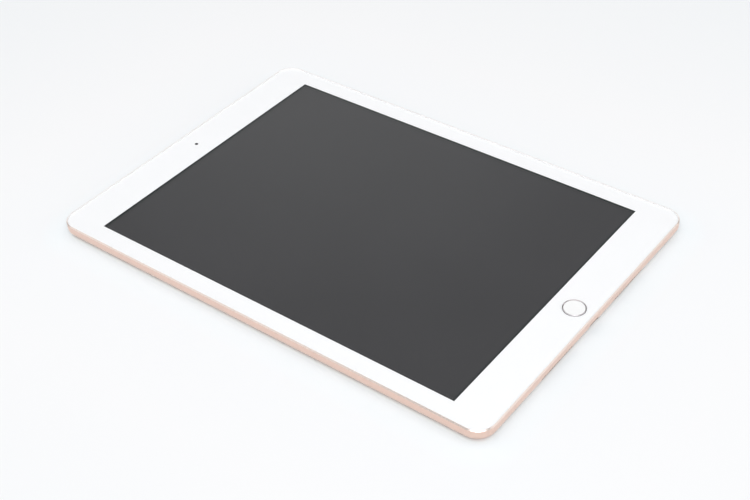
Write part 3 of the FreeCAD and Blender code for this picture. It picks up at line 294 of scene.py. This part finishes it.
ROSE = (0.832, 0.613, 0.524)
LOOKS = {  # colour, metallic, roughness, grain, mottling, wear, then surface()'s other settings
    # satin_case's last value is painted shade: the case and side keys darken towards the bottom.
    "satin_case": (ROSE, 1.0, 0.34, 5200, 0.015, 0.05, 0.000004, 0.88),
    "polished_edge": ((0.93, 0.82, 0.765), 1.0, 0.27, 1500, 0.01, 0.012),
    "milled_inside": (shade(ROSE, 0.9), 1.0, 0.5, 2600, 0.04, 0.08, 0.000006),
    "ring_metal": ((0.66, 0.62, 0.635), 1.0, 0.18, 2600, 0.02, 0.03),
    "white_print": ((0.955, 0.958, 0.970), 0.0, 0.35, 700, 0.006, 0.04),
    "white_seal": ((0.97, 0.97, 0.965), 0.0, 0.6, 1500, 0.01, 0.05),
    "cap_white": ((0.90, 0.90, 0.90), 0.0, 0.08, 700, 0.006, 0.02),
    "panel_glass": ((0.036, 0.036, 0.039), 0.0, 0.35, 160, 0.06, 0.04, 0.0, 1.0, 0.1),
    "panel_border": ((0.003, 0.010, 0.010), 0.0, 0.5, 900, 0.05, 0.05, 0.0, 1.0, 0.2),
    "lens_glass": ((0.012, 0.012, 0.02), 0.0, 0.05, 600, 0.05, 0.01),
    "black_plastic": ((0.02, 0.02, 0.02), 0.0, 0.5, 1800, 0.08, 0.08, 0.000004),
    "woven_mesh": ((0.022, 0.022, 0.023), 0.2, 0.65, 4200, 0.25, 0.10, 0.00001),
    "optical_film": ((0.85, 0.87, 0.88), 0.0, 0.3, 900, 0.01, 0.04),
    "led_board": ((0.85, 0.80, 0.45), 0.0, 0.4, 900, 0.03, 0.05),
    "stamped_steel": ((0.58, 0.58, 0.58), 1.0, 0.35, 2200, 0.04, 0.08, 0.000003),
    "screw_steel": ((0.45, 0.45, 0.46), 1.0, 0.3, 4200, 0.04, 0.08),
    "snap_dome": ((0.62, 0.60, 0.55), 1.0, 0.3, 2600, 0.03, 0.06),
    "flex_film": ((0.16, 0.07, 0.02), 0.0, 0.35, 1200, 0.08, 0.05),
    "adhesive": ((0.05, 0.05, 0.05), 0.0, 0.8, 1600, 0.1, 0.05, 0.000005),
    "sensor": ((0.06, 0.06, 0.07), 0.0, 0.4, 1600, 0.05, 0.05),
    "carrier_metal": ((0.60, 0.60, 0.60), 1.0, 0.35, 2200, 0.03, 0.06),
    "circuit_board": ((0.02, 0.05, 0.04), 0.0, 0.4, 1100, 0.12, 0.06),
    "chip_black": ((0.03, 0.03, 0.03), 0.0, 0.55, 2400, 0.08, 0.06),
    "contact_gold": ((0.83, 0.62, 0.28), 1.0, 0.25, 2600, 0.03, 0.05),
    "magnet": ((0.50, 0.50, 0.51), 1.0, 0.4, 1800, 0.04, 0.06),
    "battery_pouch": ((0.07, 0.07, 0.075), 0.6, 0.45, 500, 0.08, 0.08, 0.00002),
}
MATERIALS = {name: surface(name, *look) for name, look in LOOKS.items()}


def camera_window(name, centre, barrel_r, lens_r):
    """A dark window that shows the barrel's rim and the coated lens, by the distance from its axis, with
    painted reflection and highlights.
    """
    barrel = 0.8  # where the barrel's rim lies along the colours
    lens = barrel * lens_r / barrel_r
    # The lens's blue and purple tints are painted reflection; the two thin light rings are painted
    # highlights on the rims.
    stops = [
        (0.0, (0.004, 0.006, 0.010)),
        (lens * 0.45, (0.012, 0.016, 0.034)),
        (lens * 0.85, (0.030, 0.018, 0.045)),
        (lens, (0.004, 0.004, 0.005)),
        (lens + 0.04, (0.050, 0.050, 0.052)),
        (lens + 0.10, (0.008, 0.008, 0.008)),
        (barrel - 0.02, (0.010, 0.010, 0.010)),
        (barrel, (0.070, 0.070, 0.072)),
        (barrel + 0.04, (0.006, 0.006, 0.007)),
    ]
    make = Shader(name)
    shader = make.principled(Roughness=0.04, Specular_IOR_Level=0.6)
    away = make.vector("SUBTRACT", make.place(), (centre[0] * MM, centre[1] * MM, 0.0))
    radius = make.measure("LENGTH", make.vector("MULTIPLY", away, (1.0, 1.0, 0.0)))
    share = make.spread(radius, 0.0, 1.0, 0.0, barrel_r * MM / barrel)
    make.link(make.ramp(share, stops), shader.inputs["Base Color"])
    return make.material


def clear_glass():
    """The cover glass: what is under it shows through, and its outer face mirrors by Fresnel's law."""
    make = Shader("clear_glass")
    clear = make.node("ShaderNodeBsdfTransparent")
    gloss = fill(make.node("ShaderNodeBsdfGlossy"), Roughness=0.02)
    fresnel = fill(make.node("ShaderNodeFresnel"), IOR=1.5)
    backfacing = make.node("ShaderNodeNewGeometry").outputs["Backfacing"]
    outside = make.number("SUBTRACT", 1.0, backfacing)
    share = make.number("MULTIPLY", fresnel.outputs["Fac"], outside)
    make.show(make.mixed(share, clear.outputs["BSDF"], gloss.outputs["BSDF"]))
    return make.material


MATERIALS["clear_glass"] = clear_glass()
MATERIALS["rear_window"] = camera_window("rear_window", REAR_CAMERA, REAR_BARREL_R, REAR_LENS_R)
MATERIALS["case_aluminium"] = MATERIALS["satin_case"]

# ---------------------------------------------------------------- mesh helpers

SHARP_ANGLE = 35  # degrees; an edge that bends more stays sharp


def finished(name, mesh, materials):
    """An object of this mesh, built in millimetres, with its materials."""
    mesh.transform(Matrix.Scale(MM, 4))
    for material in materials:
        mesh.materials.append(MATERIALS[material])
    made = bpy.data.objects.new(name, mesh)
    bpy.context.scene.collection.objects.link(made)
    return made


def loop(half_w, half_l, radius, z, centre=(0.0, 0.0), steps=CORNER_STEPS):
    """A rounded rectangle of points, counter-clockwise seen from above."""
    points = []
    for corner, (side_x, side_y) in enumerate(((1, 1), (-1, 1), (-1, -1), (1, -1))):
        for k in range(steps + 1):
            turn = math.pi / 2 * (corner + k / steps)
            x = centre[0] + side_x * (half_w - radius) + radius * math.cos(turn)
            y = centre[1] + side_y * (half_l - radius) + radius * math.sin(turn)
            points.append((x, y, z))
    return points


def body_loop(inset, z):
    """A ring of the body's outline, inset all round."""
    return loop(HALF_W - inset, HALF_L - inset, CORNER_R - inset, z)


def stadium(half_l, half_h, z, steps=24):
    """A round-ended outline of points along X, counter-clockwise seen from above."""
    points = []
    for side in (1, -1):
        for k in range(steps + 1):
            turn = math.pi * (k / steps - 0.5)
            x = side * (half_l - half_h + half_h * math.cos(turn))
            points.append((x, side * half_h * math.sin(turn), z))
    return points


def circle(radius, z, centre=(0.0, 0.0), steps=96):
    """A round outline of points, counter-clockwise seen from above."""
    turns = [2 * math.pi * k / steps for k in range(steps)]
    return [(centre[0] + radius * math.cos(t), centre[1] + radius * math.sin(t), z) for t in turns]


def skinned(rings, closed=False):
    """A mesh through rings of equal length. The first and last are capped, or joined if closed."""
    mesh = bpy.data.meshes.new("skin")
    count = len(rings[0])
    vertices = [point for ring in rings for point in ring]
    faces = []
    last = len(rings) if closed else len(rings) - 1
    for i in range(last):
        a, b = i * count, (i + 1) % len(rings) * count
        for k in range(count):
            after = (k + 1) % count
            faces.append((a + k, a + after, b + after, b + k))
    if not closed:
        faces.append(tuple(reversed(range(count))))
        faces.append(tuple((len(rings) - 1) * count + k for k in range(count)))
    mesh.from_pydata(vertices, [], faces)
    mesh.validate()
    return mesh


def lathed(profile, centre, steps=180, closed=True):
    """A mesh turned about an upright axis; the profile is (radius, z) going round the section."""
    return skinned([circle(radius, z, centre, steps) for radius, z in profile], closed)


def turned(mesh, *turns):
    """The mesh after these turns, each an angle in degrees and an axis."""
    for angle, axis in turns:
        mesh.transform(Matrix.Rotation(math.radians(angle), 4, axis))
    return mesh


def moved(mesh, offset):
    mesh.transform(Matrix.Translation(Vector(offset)))
    return mesh


def merged(meshes):
    build = bmesh.new()
    for mesh in meshes:
        build.from_mesh(mesh)
    made = bpy.data.meshes.new("merged")
    build.to_mesh(made)
    build.free()
    return made


def cut(mesh, cutters):
    """The mesh with the cutters' volumes taken away."""
    body = bpy.data.objects.new("body", mesh)
    tool = bpy.data.objects.new("tool", merged(cutters))
    for each in (body, tool):
        bpy.context.scene.collection.objects.link(each)
    boolean = body.modifiers.new("cut", "BOOLEAN")
    boolean.operation = "DIFFERENCE"
    boolean.solver = "EXACT"
    boolean.object = tool
    evaluated = body.evaluated_get(bpy.context.evaluated_depsgraph_get())
    result = bpy.data.meshes.new_from_object(evaluated)
    for each in (body, tool):
        bpy.data.objects.remove(each)
    return result


def smooth(mesh):
    """Smooth shading between sharp edges, with the large faces keeping their own flat normals."""
    mesh.shade_smooth()
    mesh.set_sharp_from_angle(angle=math.radians(SHARP_ANGLE))
    body = bpy.data.objects.new("body", mesh)
    bpy.context.scene.collection.objects.link(body)
    weighted = body.modifiers.new("weighted", "WEIGHTED_NORMAL")
    weighted.keep_sharp = True
    weighted.weight = 100  # the larger face decides
    evaluated = body.evaluated_get(bpy.context.evaluated_depsgraph_get())
    result = bpy.data.meshes.new_from_object(evaluated)
    bpy.data.objects.remove(body)
    return result


def slot_bar(length, height, reach):
    """A round-ended upright bar on the ground plane: length along X, height along Y."""
    return skinned([stadium(length / 2, height / 2, z) for z in (0, reach)])


def round_bar(radius, low, high, centre=(0.0, 0.0), steps=96):
    """A round upright bar."""
    return skinned([circle(radius, z, centre, steps) for z in (low, high)])


# ---------------------------------------------------------------- the case

# The curve under the sides: a small arc below the upright side meets a big one that ends flat.
BIG_REACH = BACK_CURVE - SIDE_ARC_R
BIG_R = (BIG_REACH**2 + SIDE_LOW_Z**2 - SIDE_ARC_R**2) / (2 * (SIDE_LOW_Z - SIDE_ARC_R))
BIG_CENTRE = (BACK_CURVE, BIG_R)  # inset from the side, height
SMALL_CENTRE = (SIDE_ARC_R, SIDE_LOW_Z)
MEET_TURN = math.atan2(BIG_CENTRE[1] - SMALL_CENTRE[1], BIG_CENTRE[0] - SMALL_CENTRE[0])
MEET_Z = BIG_CENTRE[1] - BIG_R * math.sin(MEET_TURN)
TOUCH = 1e-3  # what lies nearer than this, in millimetres, touches
CHAMFER_TILT = (0.5, 0.9)  # the upward part of a chamfer face's normal lies between these
SAME_WAY = 0.96  # the cosine above which a face belongs to the curved side
CASE_FINISHES = ["satin_case", "polished_edge", "milled_inside"]


def on_arc(centre, radius, turn):
    """(inset, z) of a point of an arc."""
    return (centre[0] - radius * math.cos(turn), centre[1] - radius * math.sin(turn))


def side_rings(steps=10):
    """(inset, z) from the flat back round the two arcs to the upright side."""
    rings = []
    for k in range(steps + 1):
        turn = math.pi / 2 + (MEET_TURN - math.pi / 2) * k / steps
        rings.append(on_arc(BIG_CENTRE, BIG_R, turn))
    for k in range(1, steps + 1):
        rings.append(on_arc(SMALL_CENTRE, SIDE_ARC_R, MEET_TURN * (1 - k / steps)))
    return rings


def side_inset(z):
    """How far the outer surface lies in from the side plane at a height."""
    if z >= SIDE_LOW_Z:
        return 0.0
    if z >= MEET_Z:
        return SMALL_CENTRE[0] - math.sqrt(SIDE_ARC_R**2 - (SIDE_LOW_Z - z) ** 2)
    return BIG_CENTRE[0] - math.sqrt(BIG_R**2 - (BIG_CENTRE[1] - z) ** 2)


def outer_normal(point):
    """The case's own outward direction at a point of its outer surface."""
    x, y, z = point
    core_x = max(CORNER_R - HALF_W, min(HALF_W - CORNER_R, x))
    core_y = max(CORNER_R - HALF_L, min(HALF_L - CORNER_R, y))
    out = Vector((x - core_x, y - core_y, 0))
    reach = out.length
    if reach < TOUCH:
        return Vector((0, 0, -1))
    out.normalize()
    if z >= SIDE_LOW_Z:
        return out
    centre = SMALL_CENTRE if z >= MEET_Z else BIG_CENTRE
    section = Vector((centre[0] - (CORNER_R - reach), z - centre[1]))
    section.normalize()
    return out * section.x + Vector((0, 0, section.y))


def side_openings():
    """Cutters for the buttons, the sockets and the upper microphone."""
    end_on = (90, "X")  # lays an upright bar along -Y
    power = turned(slot_bar(SLOT_L, SLOT_H, SIDE_CUT + OVERCUT), end_on)
    cutters = [moved(power, (POWER_X, HALF_L + OVERCUT, BUTTON_Z))]
    for y in VOLUME_Y.values():
        bar = turned(slot_bar(SLOT_L, SLOT_H, SIDE_CUT + OVERCUT), (90, "Z"), (90, "Y"))
        cutters.append(moved(bar, (HALF_W - SIDE_CUT, y, BUTTON_Z)))
    port = turned(slot_bar(PORT_W, PORT_H, SIDE_CUT + OVERCUT), end_on)
    cutters.append(moved(port, (0, SIDE_CUT - HALF_L, PORT_Z)))
    jack = turned(round_bar(JACK_HOLE_R, 0, SIDE_CUT + OVERCUT), end_on)
    cutters.append(moved(jack, (JACK_X, HALF_L + OVERCUT, JACK_Z)))
    microphone = turned(round_bar(MIC_HOLE_R, 0, SIDE_CUT + OVERCUT, steps=MIC_HOLE_STEPS), end_on)
    cutters.append(moved(microphone, (0, HALF_L + OVERCUT, TOP_MIC_Z)))
    return cutters


def back_openings():
    """Cutters for the microphone and the camera in the back."""
    microphone = round_bar(MIC_HOLE_R, -OVERCUT, BACK_CUT, REAR_MIC, MIC_HOLE_STEPS)
    return [microphone, round_bar(REAR_RING_R + REAR_RING_FIT, -OVERCUT, BACK_CUT, REAR_CAMERA)]


def grille():
    """Cutters for the two rows of speaker holes on each side of the port."""
    cutters = []
    for column in range(GRILLE_COLUMNS):
        for z in GRILLE_ROWS:
            for side in (-1, 1):
                x = side * (GRILLE_X + GRILLE_PITCH * column)
                hole = round_bar(GRILLE_HOLE_R, 0, GRILLE_DEEP + OVERCUT, steps=GRILLE_HOLE_STEPS)
                cutters.append(moved(turned(hole, (90, "X")), (x, GRILLE_DEEP - HALF_L, z)))
    return cutters


def case_finish(face):
    """The name of a case face's material."""
    x, y, z = face.center
    if BODY_T - CHAMFER < z < BODY_T - TOUCH and CHAMFER_TILT[0] < face.normal.z < CHAMFER_TILT[1]:
        return "polished_edge"
    past_wall = max(abs(x) - (HALF_W - SIDE_WALL), abs(y) - (HALF_L - SIDE_WALL))
    return "milled_inside" if past_wall < TOUCH and z > BACK_WALL - TOUCH else "satin_case"


def case_shell():
    """The machined case: flat back, curved side, polished chamfer, rim, ledge and hollow."""
    section = side_rings() + [
        (0, BODY_T - CHAMFER),
        (CHAMFER, BODY_T),
        (RIM_INSET, BODY_T),
        (RIM_INSET, LEDGE_Z),
        (SIDE_WALL, LEDGE_Z),
        (SIDE_WALL, BACK_WALL + CAVITY_SCOOP),
        (SIDE_WALL + CAVITY_SCOOP, BACK_WALL),
    ]
    solid = skinned([body_loop(inset, z) for inset, z in section])
    mesh = smooth(cut(solid, side_openings() + back_openings() + grille()))
    normals = [Vector(n.vector) for n in mesh.corner_normals]
    for face in mesh.polygons:
        face.material_index = CASE_FINISHES.index(case_finish(face))
        on_side = face.center.z < BODY_T - CHAMFER
        if on_side and face.normal.dot(outer_normal(face.center)) > SAME_WAY:
            for corner in face.loop_indices:
                point = mesh.vertices[mesh.loops[corner].vertex_index].co
                normals[corner] = outer_normal(point)
    mesh.normals_split_custom_set(normals)
    return finished("case_shell", mesh, CASE_FINISHES)


# ---------------------------------------------------------------- glass and home button


def front_glass():
    """The cover glass with its softened top edge and the hole for the home button."""
    rings = [body_loop(GLASS_INSET, MASK_TOP)]
    for k in range(BEVEL_STEPS + 1):
        turn = math.pi / 2 * k / BEVEL_STEPS
        inset = GLASS_INSET + GLASS_BEVEL * (1 - math.cos(turn))
        rings.append(body_loop(inset, BODY_T - GLASS_BEVEL + GLASS_BEVEL * math.sin(turn)))
    hole = round_bar(HOME_HOLE_R, MASK_TOP - OVERCUT, BODY_T + OVERCUT, HOME, HOME_HOLE_STEPS)
    return finished("front_glass", smooth(cut(skinned(rings), [hole])), ["clear_glass"])


def border_print():
    """The white print under the glass, open for the picture, the home button and the front camera."""
    low, high = MASK_Z - OVERCUT, MASK_TOP + OVERCUT
    sheet = skinned([body_loop(GLASS_INSET + MASK_GAP, z) for z in (MASK_Z, MASK_TOP - MASK_GAP)])
    window = skinned([loop(*WINDOW_HALF, WINDOW_CORNER_R, z, (0, SCREEN_Y), 1) for z in (low, high)])
    home = round_bar(HOME_HOLE_R, low, high, HOME, HOME_HOLE_STEPS)
    aperture = round_bar(FRONT_APERTURE_R, low, high, FRONT_CAMERA, FRONT_APERTURE_STEPS)
    return finished("border_print", cut(sheet, [window, home, aperture]), ["white_print"])


def home_ring():
    """The polished ring: an outer edge just below the glass's face, then a band sloping in to the cap."""
    profile = [
        (RING_OUTER_R, RING_BASE),
        (RING_OUTER_R, RING_TOP - RING_EDGE),
        (RING_OUTER_R - RING_EDGE, RING_TOP),
        (RING_INNER_R, CAP_TOP + RING_LIP),
        (RING_INNER_R, RING_BASE),
    ]
    return finished("home_ring_trim", smooth(lathed(profile, HOME)), ["ring_metal"])


def home_cap():
    """The cap, very slightly dished for the finger."""
    profile = [(CAP_R, CAP_BASE), (CAP_R, CAP_TOP - CAP_EDGE)]
    for k in range(CAP_STEPS):
        share = 1 - k / CAP_STEPS
        profile.append(((CAP_R - CAP_EDGE) * share, CAP_TOP - CAP_DISH * (1 - share**2)))
    return finished("home_cap", smooth(lathed(profile, HOME, closed=False)), ["cap_white"])


# ---------------------------------------------------------------- buttons and rear camera


def side_button():
    """A side button built facing +Y at x = 0. Its face follows the case's curve inside a narrow bevel."""
    half_l = SLOT_L / 2 - BUTTON_CLEARANCE
    half_h = SLOT_H / 2 - BUTTON_CLEARANCE

    def ring(shrink, depth):
        points = []
        for x, z, _ in stadium(half_l - shrink, half_h - shrink, 0):
            height = BUTTON_Z + z
            points.append((x, -side_inset(height) + BUTTON_PROUD - depth, height))
        return points

    back = [(x, -BUTTON_BACK, z) for x, _, z in ring(0, 0)]
    rings = [back, ring(0, BUTTON_BEVEL), ring(BUTTON_BEVEL, 0)]
    rings += [ring(half_h * share, 0) for share in FACE_SHARES]
    mesh = skinned(rings)
    mesh.flip_normals()
    return smooth(mesh)


def rear_ring():
    """The polished ring round the rear camera."""
    profile = [(REAR_RING_R, BACK_WALL)]
    profile += [(REAR_RING_R - inset, height) for inset, height in REAR_RING_EDGE]
    profile += [
        (REAR_WINDOW_R + REAR_WINDOW_SLOPE, 0.0),
        (REAR_WINDOW_R, REAR_WINDOW_SLOPE),
        (REAR_WINDOW_R, BACK_WALL),
    ]
    mesh = lathed(profile, REAR_CAMERA)
    mesh.flip_normals()
    return finished("rear_camera_trim", smooth(mesh), ["ring_metal"])


def place_pieces():
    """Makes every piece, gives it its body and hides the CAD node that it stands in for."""
    shell = case_shell()
    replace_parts(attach(shell, "tablet"), "rear_housing")
    glass = front_glass()
    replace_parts(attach(glass, "tablet"), "cover_glass")
    border = border_print()
    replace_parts(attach(border, "tablet"), "bezel_mask")
    ring = home_ring()
    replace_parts(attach(ring, "home_button"), "home_ring")
    cap = home_cap()
    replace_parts(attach(cap, "home_button"), "home_button_cap")
    power = finished("power_key", moved(side_button(), (POWER_X, HALF_L, 0)), ["satin_case"])
    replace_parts(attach(power, "power_button"), "power_button")
    for name, y in VOLUME_Y.items():
        mesh = moved(turned(side_button(), (-90, "Z")), (HALF_W, y, 0))
        key = finished(f"{name}_key", mesh, ["satin_case"])
        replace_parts(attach(key, f"{name}_button"), f"{name}_button")
    trim = rear_ring()
    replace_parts(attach(trim, "tablet"), "rear_camera_ring")


place_pieces()

# CAD nodes that look different from the other nodes of their slot.
OWN_MATERIAL = {
    "lcd_edge_tape": "panel_border",
    "rear_camera_lens": "rear_window",
    "speaker_meshes": "woven_mesh",
}
SLOT_OF = {entry["node"]: entry["material_slot"] for entry in frame["record"]["subparts"]}
for node, thing in frame["nodes"].items():
    for slot in thing.material_slots:
        slot.material = MATERIALS[OWN_MATERIAL.get(node, SLOT_OF[node])]

# ---------------------------------------------------------------- floor, light and camera

# The floor first shows under the curved sides, this far inside the object's outline.
FLOOR_LINE_INSET = 3.0
FLOOR_PAINTED_LIGHT = [  # (distance in metres from that line, colour): painted light and shade, a darker line at the object's foot, a brighter, bluer band just beyond it and painted falloff far off
    (0.0006, (0.865, 0.855, 0.860)),
    (0.0019, (0.912, 0.984, 0.996)),
    (0.0035, (0.873, 0.935, 0.963)),
    (0.0170, (0.872, 0.880, 0.892)),
    (0.0630, (0.878, 0.878, 0.885)),
    (0.4000, (0.820, 0.842, 0.855)),
]
FLOOR_R = 30.0
FAR_FLOOR = (0.865, 0.915, 0.935)
FAR_FROM, FAR_TO = 0.7, 1.8  # metres over which the even floor takes over


def floor():
    """A pale table top, with painted light and shade by the distance from the object. Far off, where the
    lamps don't reach, it looks even.
    """
    mesh = bpy.data.meshes.new("floor")
    ring = circle(FLOOR_R, 0.0, steps=64)
    mesh.from_pydata(ring, [], [tuple(range(len(ring)))])
    made = bpy.data.objects.new("floor", mesh)
    bpy.context.scene.collection.objects.link(made)
    make = Shader("floor")
    core = ((HALF_W - CORNER_R) * MM, (HALF_L - CORNER_R) * MM, 0.0)
    beyond = make.vector("SUBTRACT", make.vector("ABSOLUTE", make.place()), core)
    distance = make.measure("LENGTH", make.vector("MAXIMUM", beyond, (0.0, 0.0, 0.0)))
    line = (CORNER_R - FLOOR_LINE_INSET) * MM
    reach = FLOOR_PAINTED_LIGHT[-1][0]
    share = make.number("SQRT", make.spread(distance, 0.0, 1.0, line, line + reach))
    stops = [(math.sqrt(away / reach), colour) for away, colour in FLOOR_PAINTED_LIGHT]
    near = make.node("ShaderNodeBsdfDiffuse")
    # Painted light and shade: the table's colour follows the distance from the object.
    make.link(make.ramp(share, stops), near.inputs["Color"])
    glow = fill(make.node("ShaderNodeEmission"), Color=(*FAR_FLOOR, 1.0))
    ray = make.node("ShaderNodeLightPath").outputs
    seen = make.number("MAXIMUM", ray["Is Camera Ray"], ray["Is Glossy Ray"])
    seen = make.number("MAXIMUM", seen, ray["Is Transmission Ray"])
    far = make.number("MULTIPLY", make.spread(distance, 0.0, 1.0, FAR_FROM, FAR_TO), seen)
    make.show(make.mixed(far, near.outputs["BSDF"], glow.outputs["Emission"]))
    mesh.materials.append(make.material)


ROOM_LOW = 0.20  # the light that comes from everywhere
ROOM_PARTS = (  # (towards, from this cosine, to this cosine, added light)
    ((0.0, 0.0, 1.0), 0.12, 0.95, 0.58),  # brighter upwards
    ((0.676, 0.567, 0.469), 0.965, 1.0, 0.33),  # a lit patch on the far side
    ((0.0, 0.0, -1.0), -0.20, -0.10, 0.45),  # a lit band just above the floor
)


def room():
    """A pale room, which lights the object and shows in its polished faces."""
    studio = bpy.data.worlds.new("studio")
    bpy.context.scene.world = studio
    studio.use_nodes = True
    make = Nodes(studio.node_tree)
    way_out = make.node("ShaderNodeTexCoord").outputs["Generated"]
    level = ROOM_LOW
    for towards, low, high, light in ROOM_PARTS:
        rise = make.node("ShaderNodeMapRange", interpolation_type="SMOOTHSTEP")
        fill(rise, From_Min=low, From_Max=high, To_Max=light)
        make.link(make.measure("DOT_PRODUCT", way_out, towards), rise.inputs["Value"])
        level = make.number("ADD", rise.outputs["Result"], level)
    background = fill(make.tree.nodes["Background"], Color=(1.0, 1.0, 1.0, 1.0))
    make.link(level, background.inputs["Strength"])


LAMPS = (  # name, azimuth and elevation in degrees, distance, (width, height), radiance, tint
    ("key", 218, 45, 6.0, (4.6, 3.2), 4.3, (0.965, 1.0, 1.03)),
    ("overhead", 219, 76, 1.0, (1.3, 1.3), 0.24, (1.06, 1.0, 0.94)),
    ("left_box", 123, 27, 1.6, (1.53, 0.74), 0.50, (1.04, 1.0, 0.97)),
    ("right_box", -58, 23, 1.6, (1.49, 0.74), 0.64, (1.04, 1.0, 0.97)),
)


def softbox(name, azimuth, elevation, distance, size, radiance, tint):
    """A lamp facing the object. Azimuth counts from +X towards +Y."""
    lamp = bpy.data.lights.new(name, "AREA")
    lamp.shape = "RECTANGLE"
    lamp.size, lamp.size_y = size
    lamp.energy = radiance * math.pi * size[0] * size[1]
    lamp.color = tint
    made = bpy.data.objects.new(name, lamp)
    bpy.context.scene.collection.objects.link(made)
    turn, rise = math.radians(azimuth), math.radians(elevation)
    way = Vector((math.cos(turn) * math.cos(rise), math.sin(turn) * math.cos(rise), math.sin(rise)))
    made.location = way * distance
    made.rotation_euler = way.to_track_quat("Z", "Y").to_euler()


# In metres. They put the corners of the picture opening where the photograph has them.
CAMERA_AT = Vector((-0.37712, -0.30633, 0.38448))
CAMERA_WAY = Vector((0.60348, 0.48582, -0.63229))
CAMERA_UP = Vector((0.52293, 0.35750, 0.77378))
LENS, SENSOR_WIDTH = 63.195, 36.0


def camera():
    """The photograph's view."""
    data = bpy.data.cameras.new("camera")
    data.lens = LENS
    data.sensor_width = SENSOR_WIDTH
    made = bpy.data.objects.new("camera", data)
    bpy.context.scene.collection.objects.link(made)
    right = CAMERA_WAY.cross(CAMERA_UP).normalized()
    up = right.cross(CAMERA_WAY).normalized()
    turn = Matrix((right, up, -CAMERA_WAY.normalized())).transposed()
    made.matrix_world = Matrix.Translation(CAMERA_AT) @ turn.to_4x4()
    bpy.context.scene.camera = made


floor()
room()
for settings in LAMPS:
    softbox(*settings)
camera()
bpy.context.scene.view_settings.view_transform = "Standard"
bpy.context.view_layer.update()
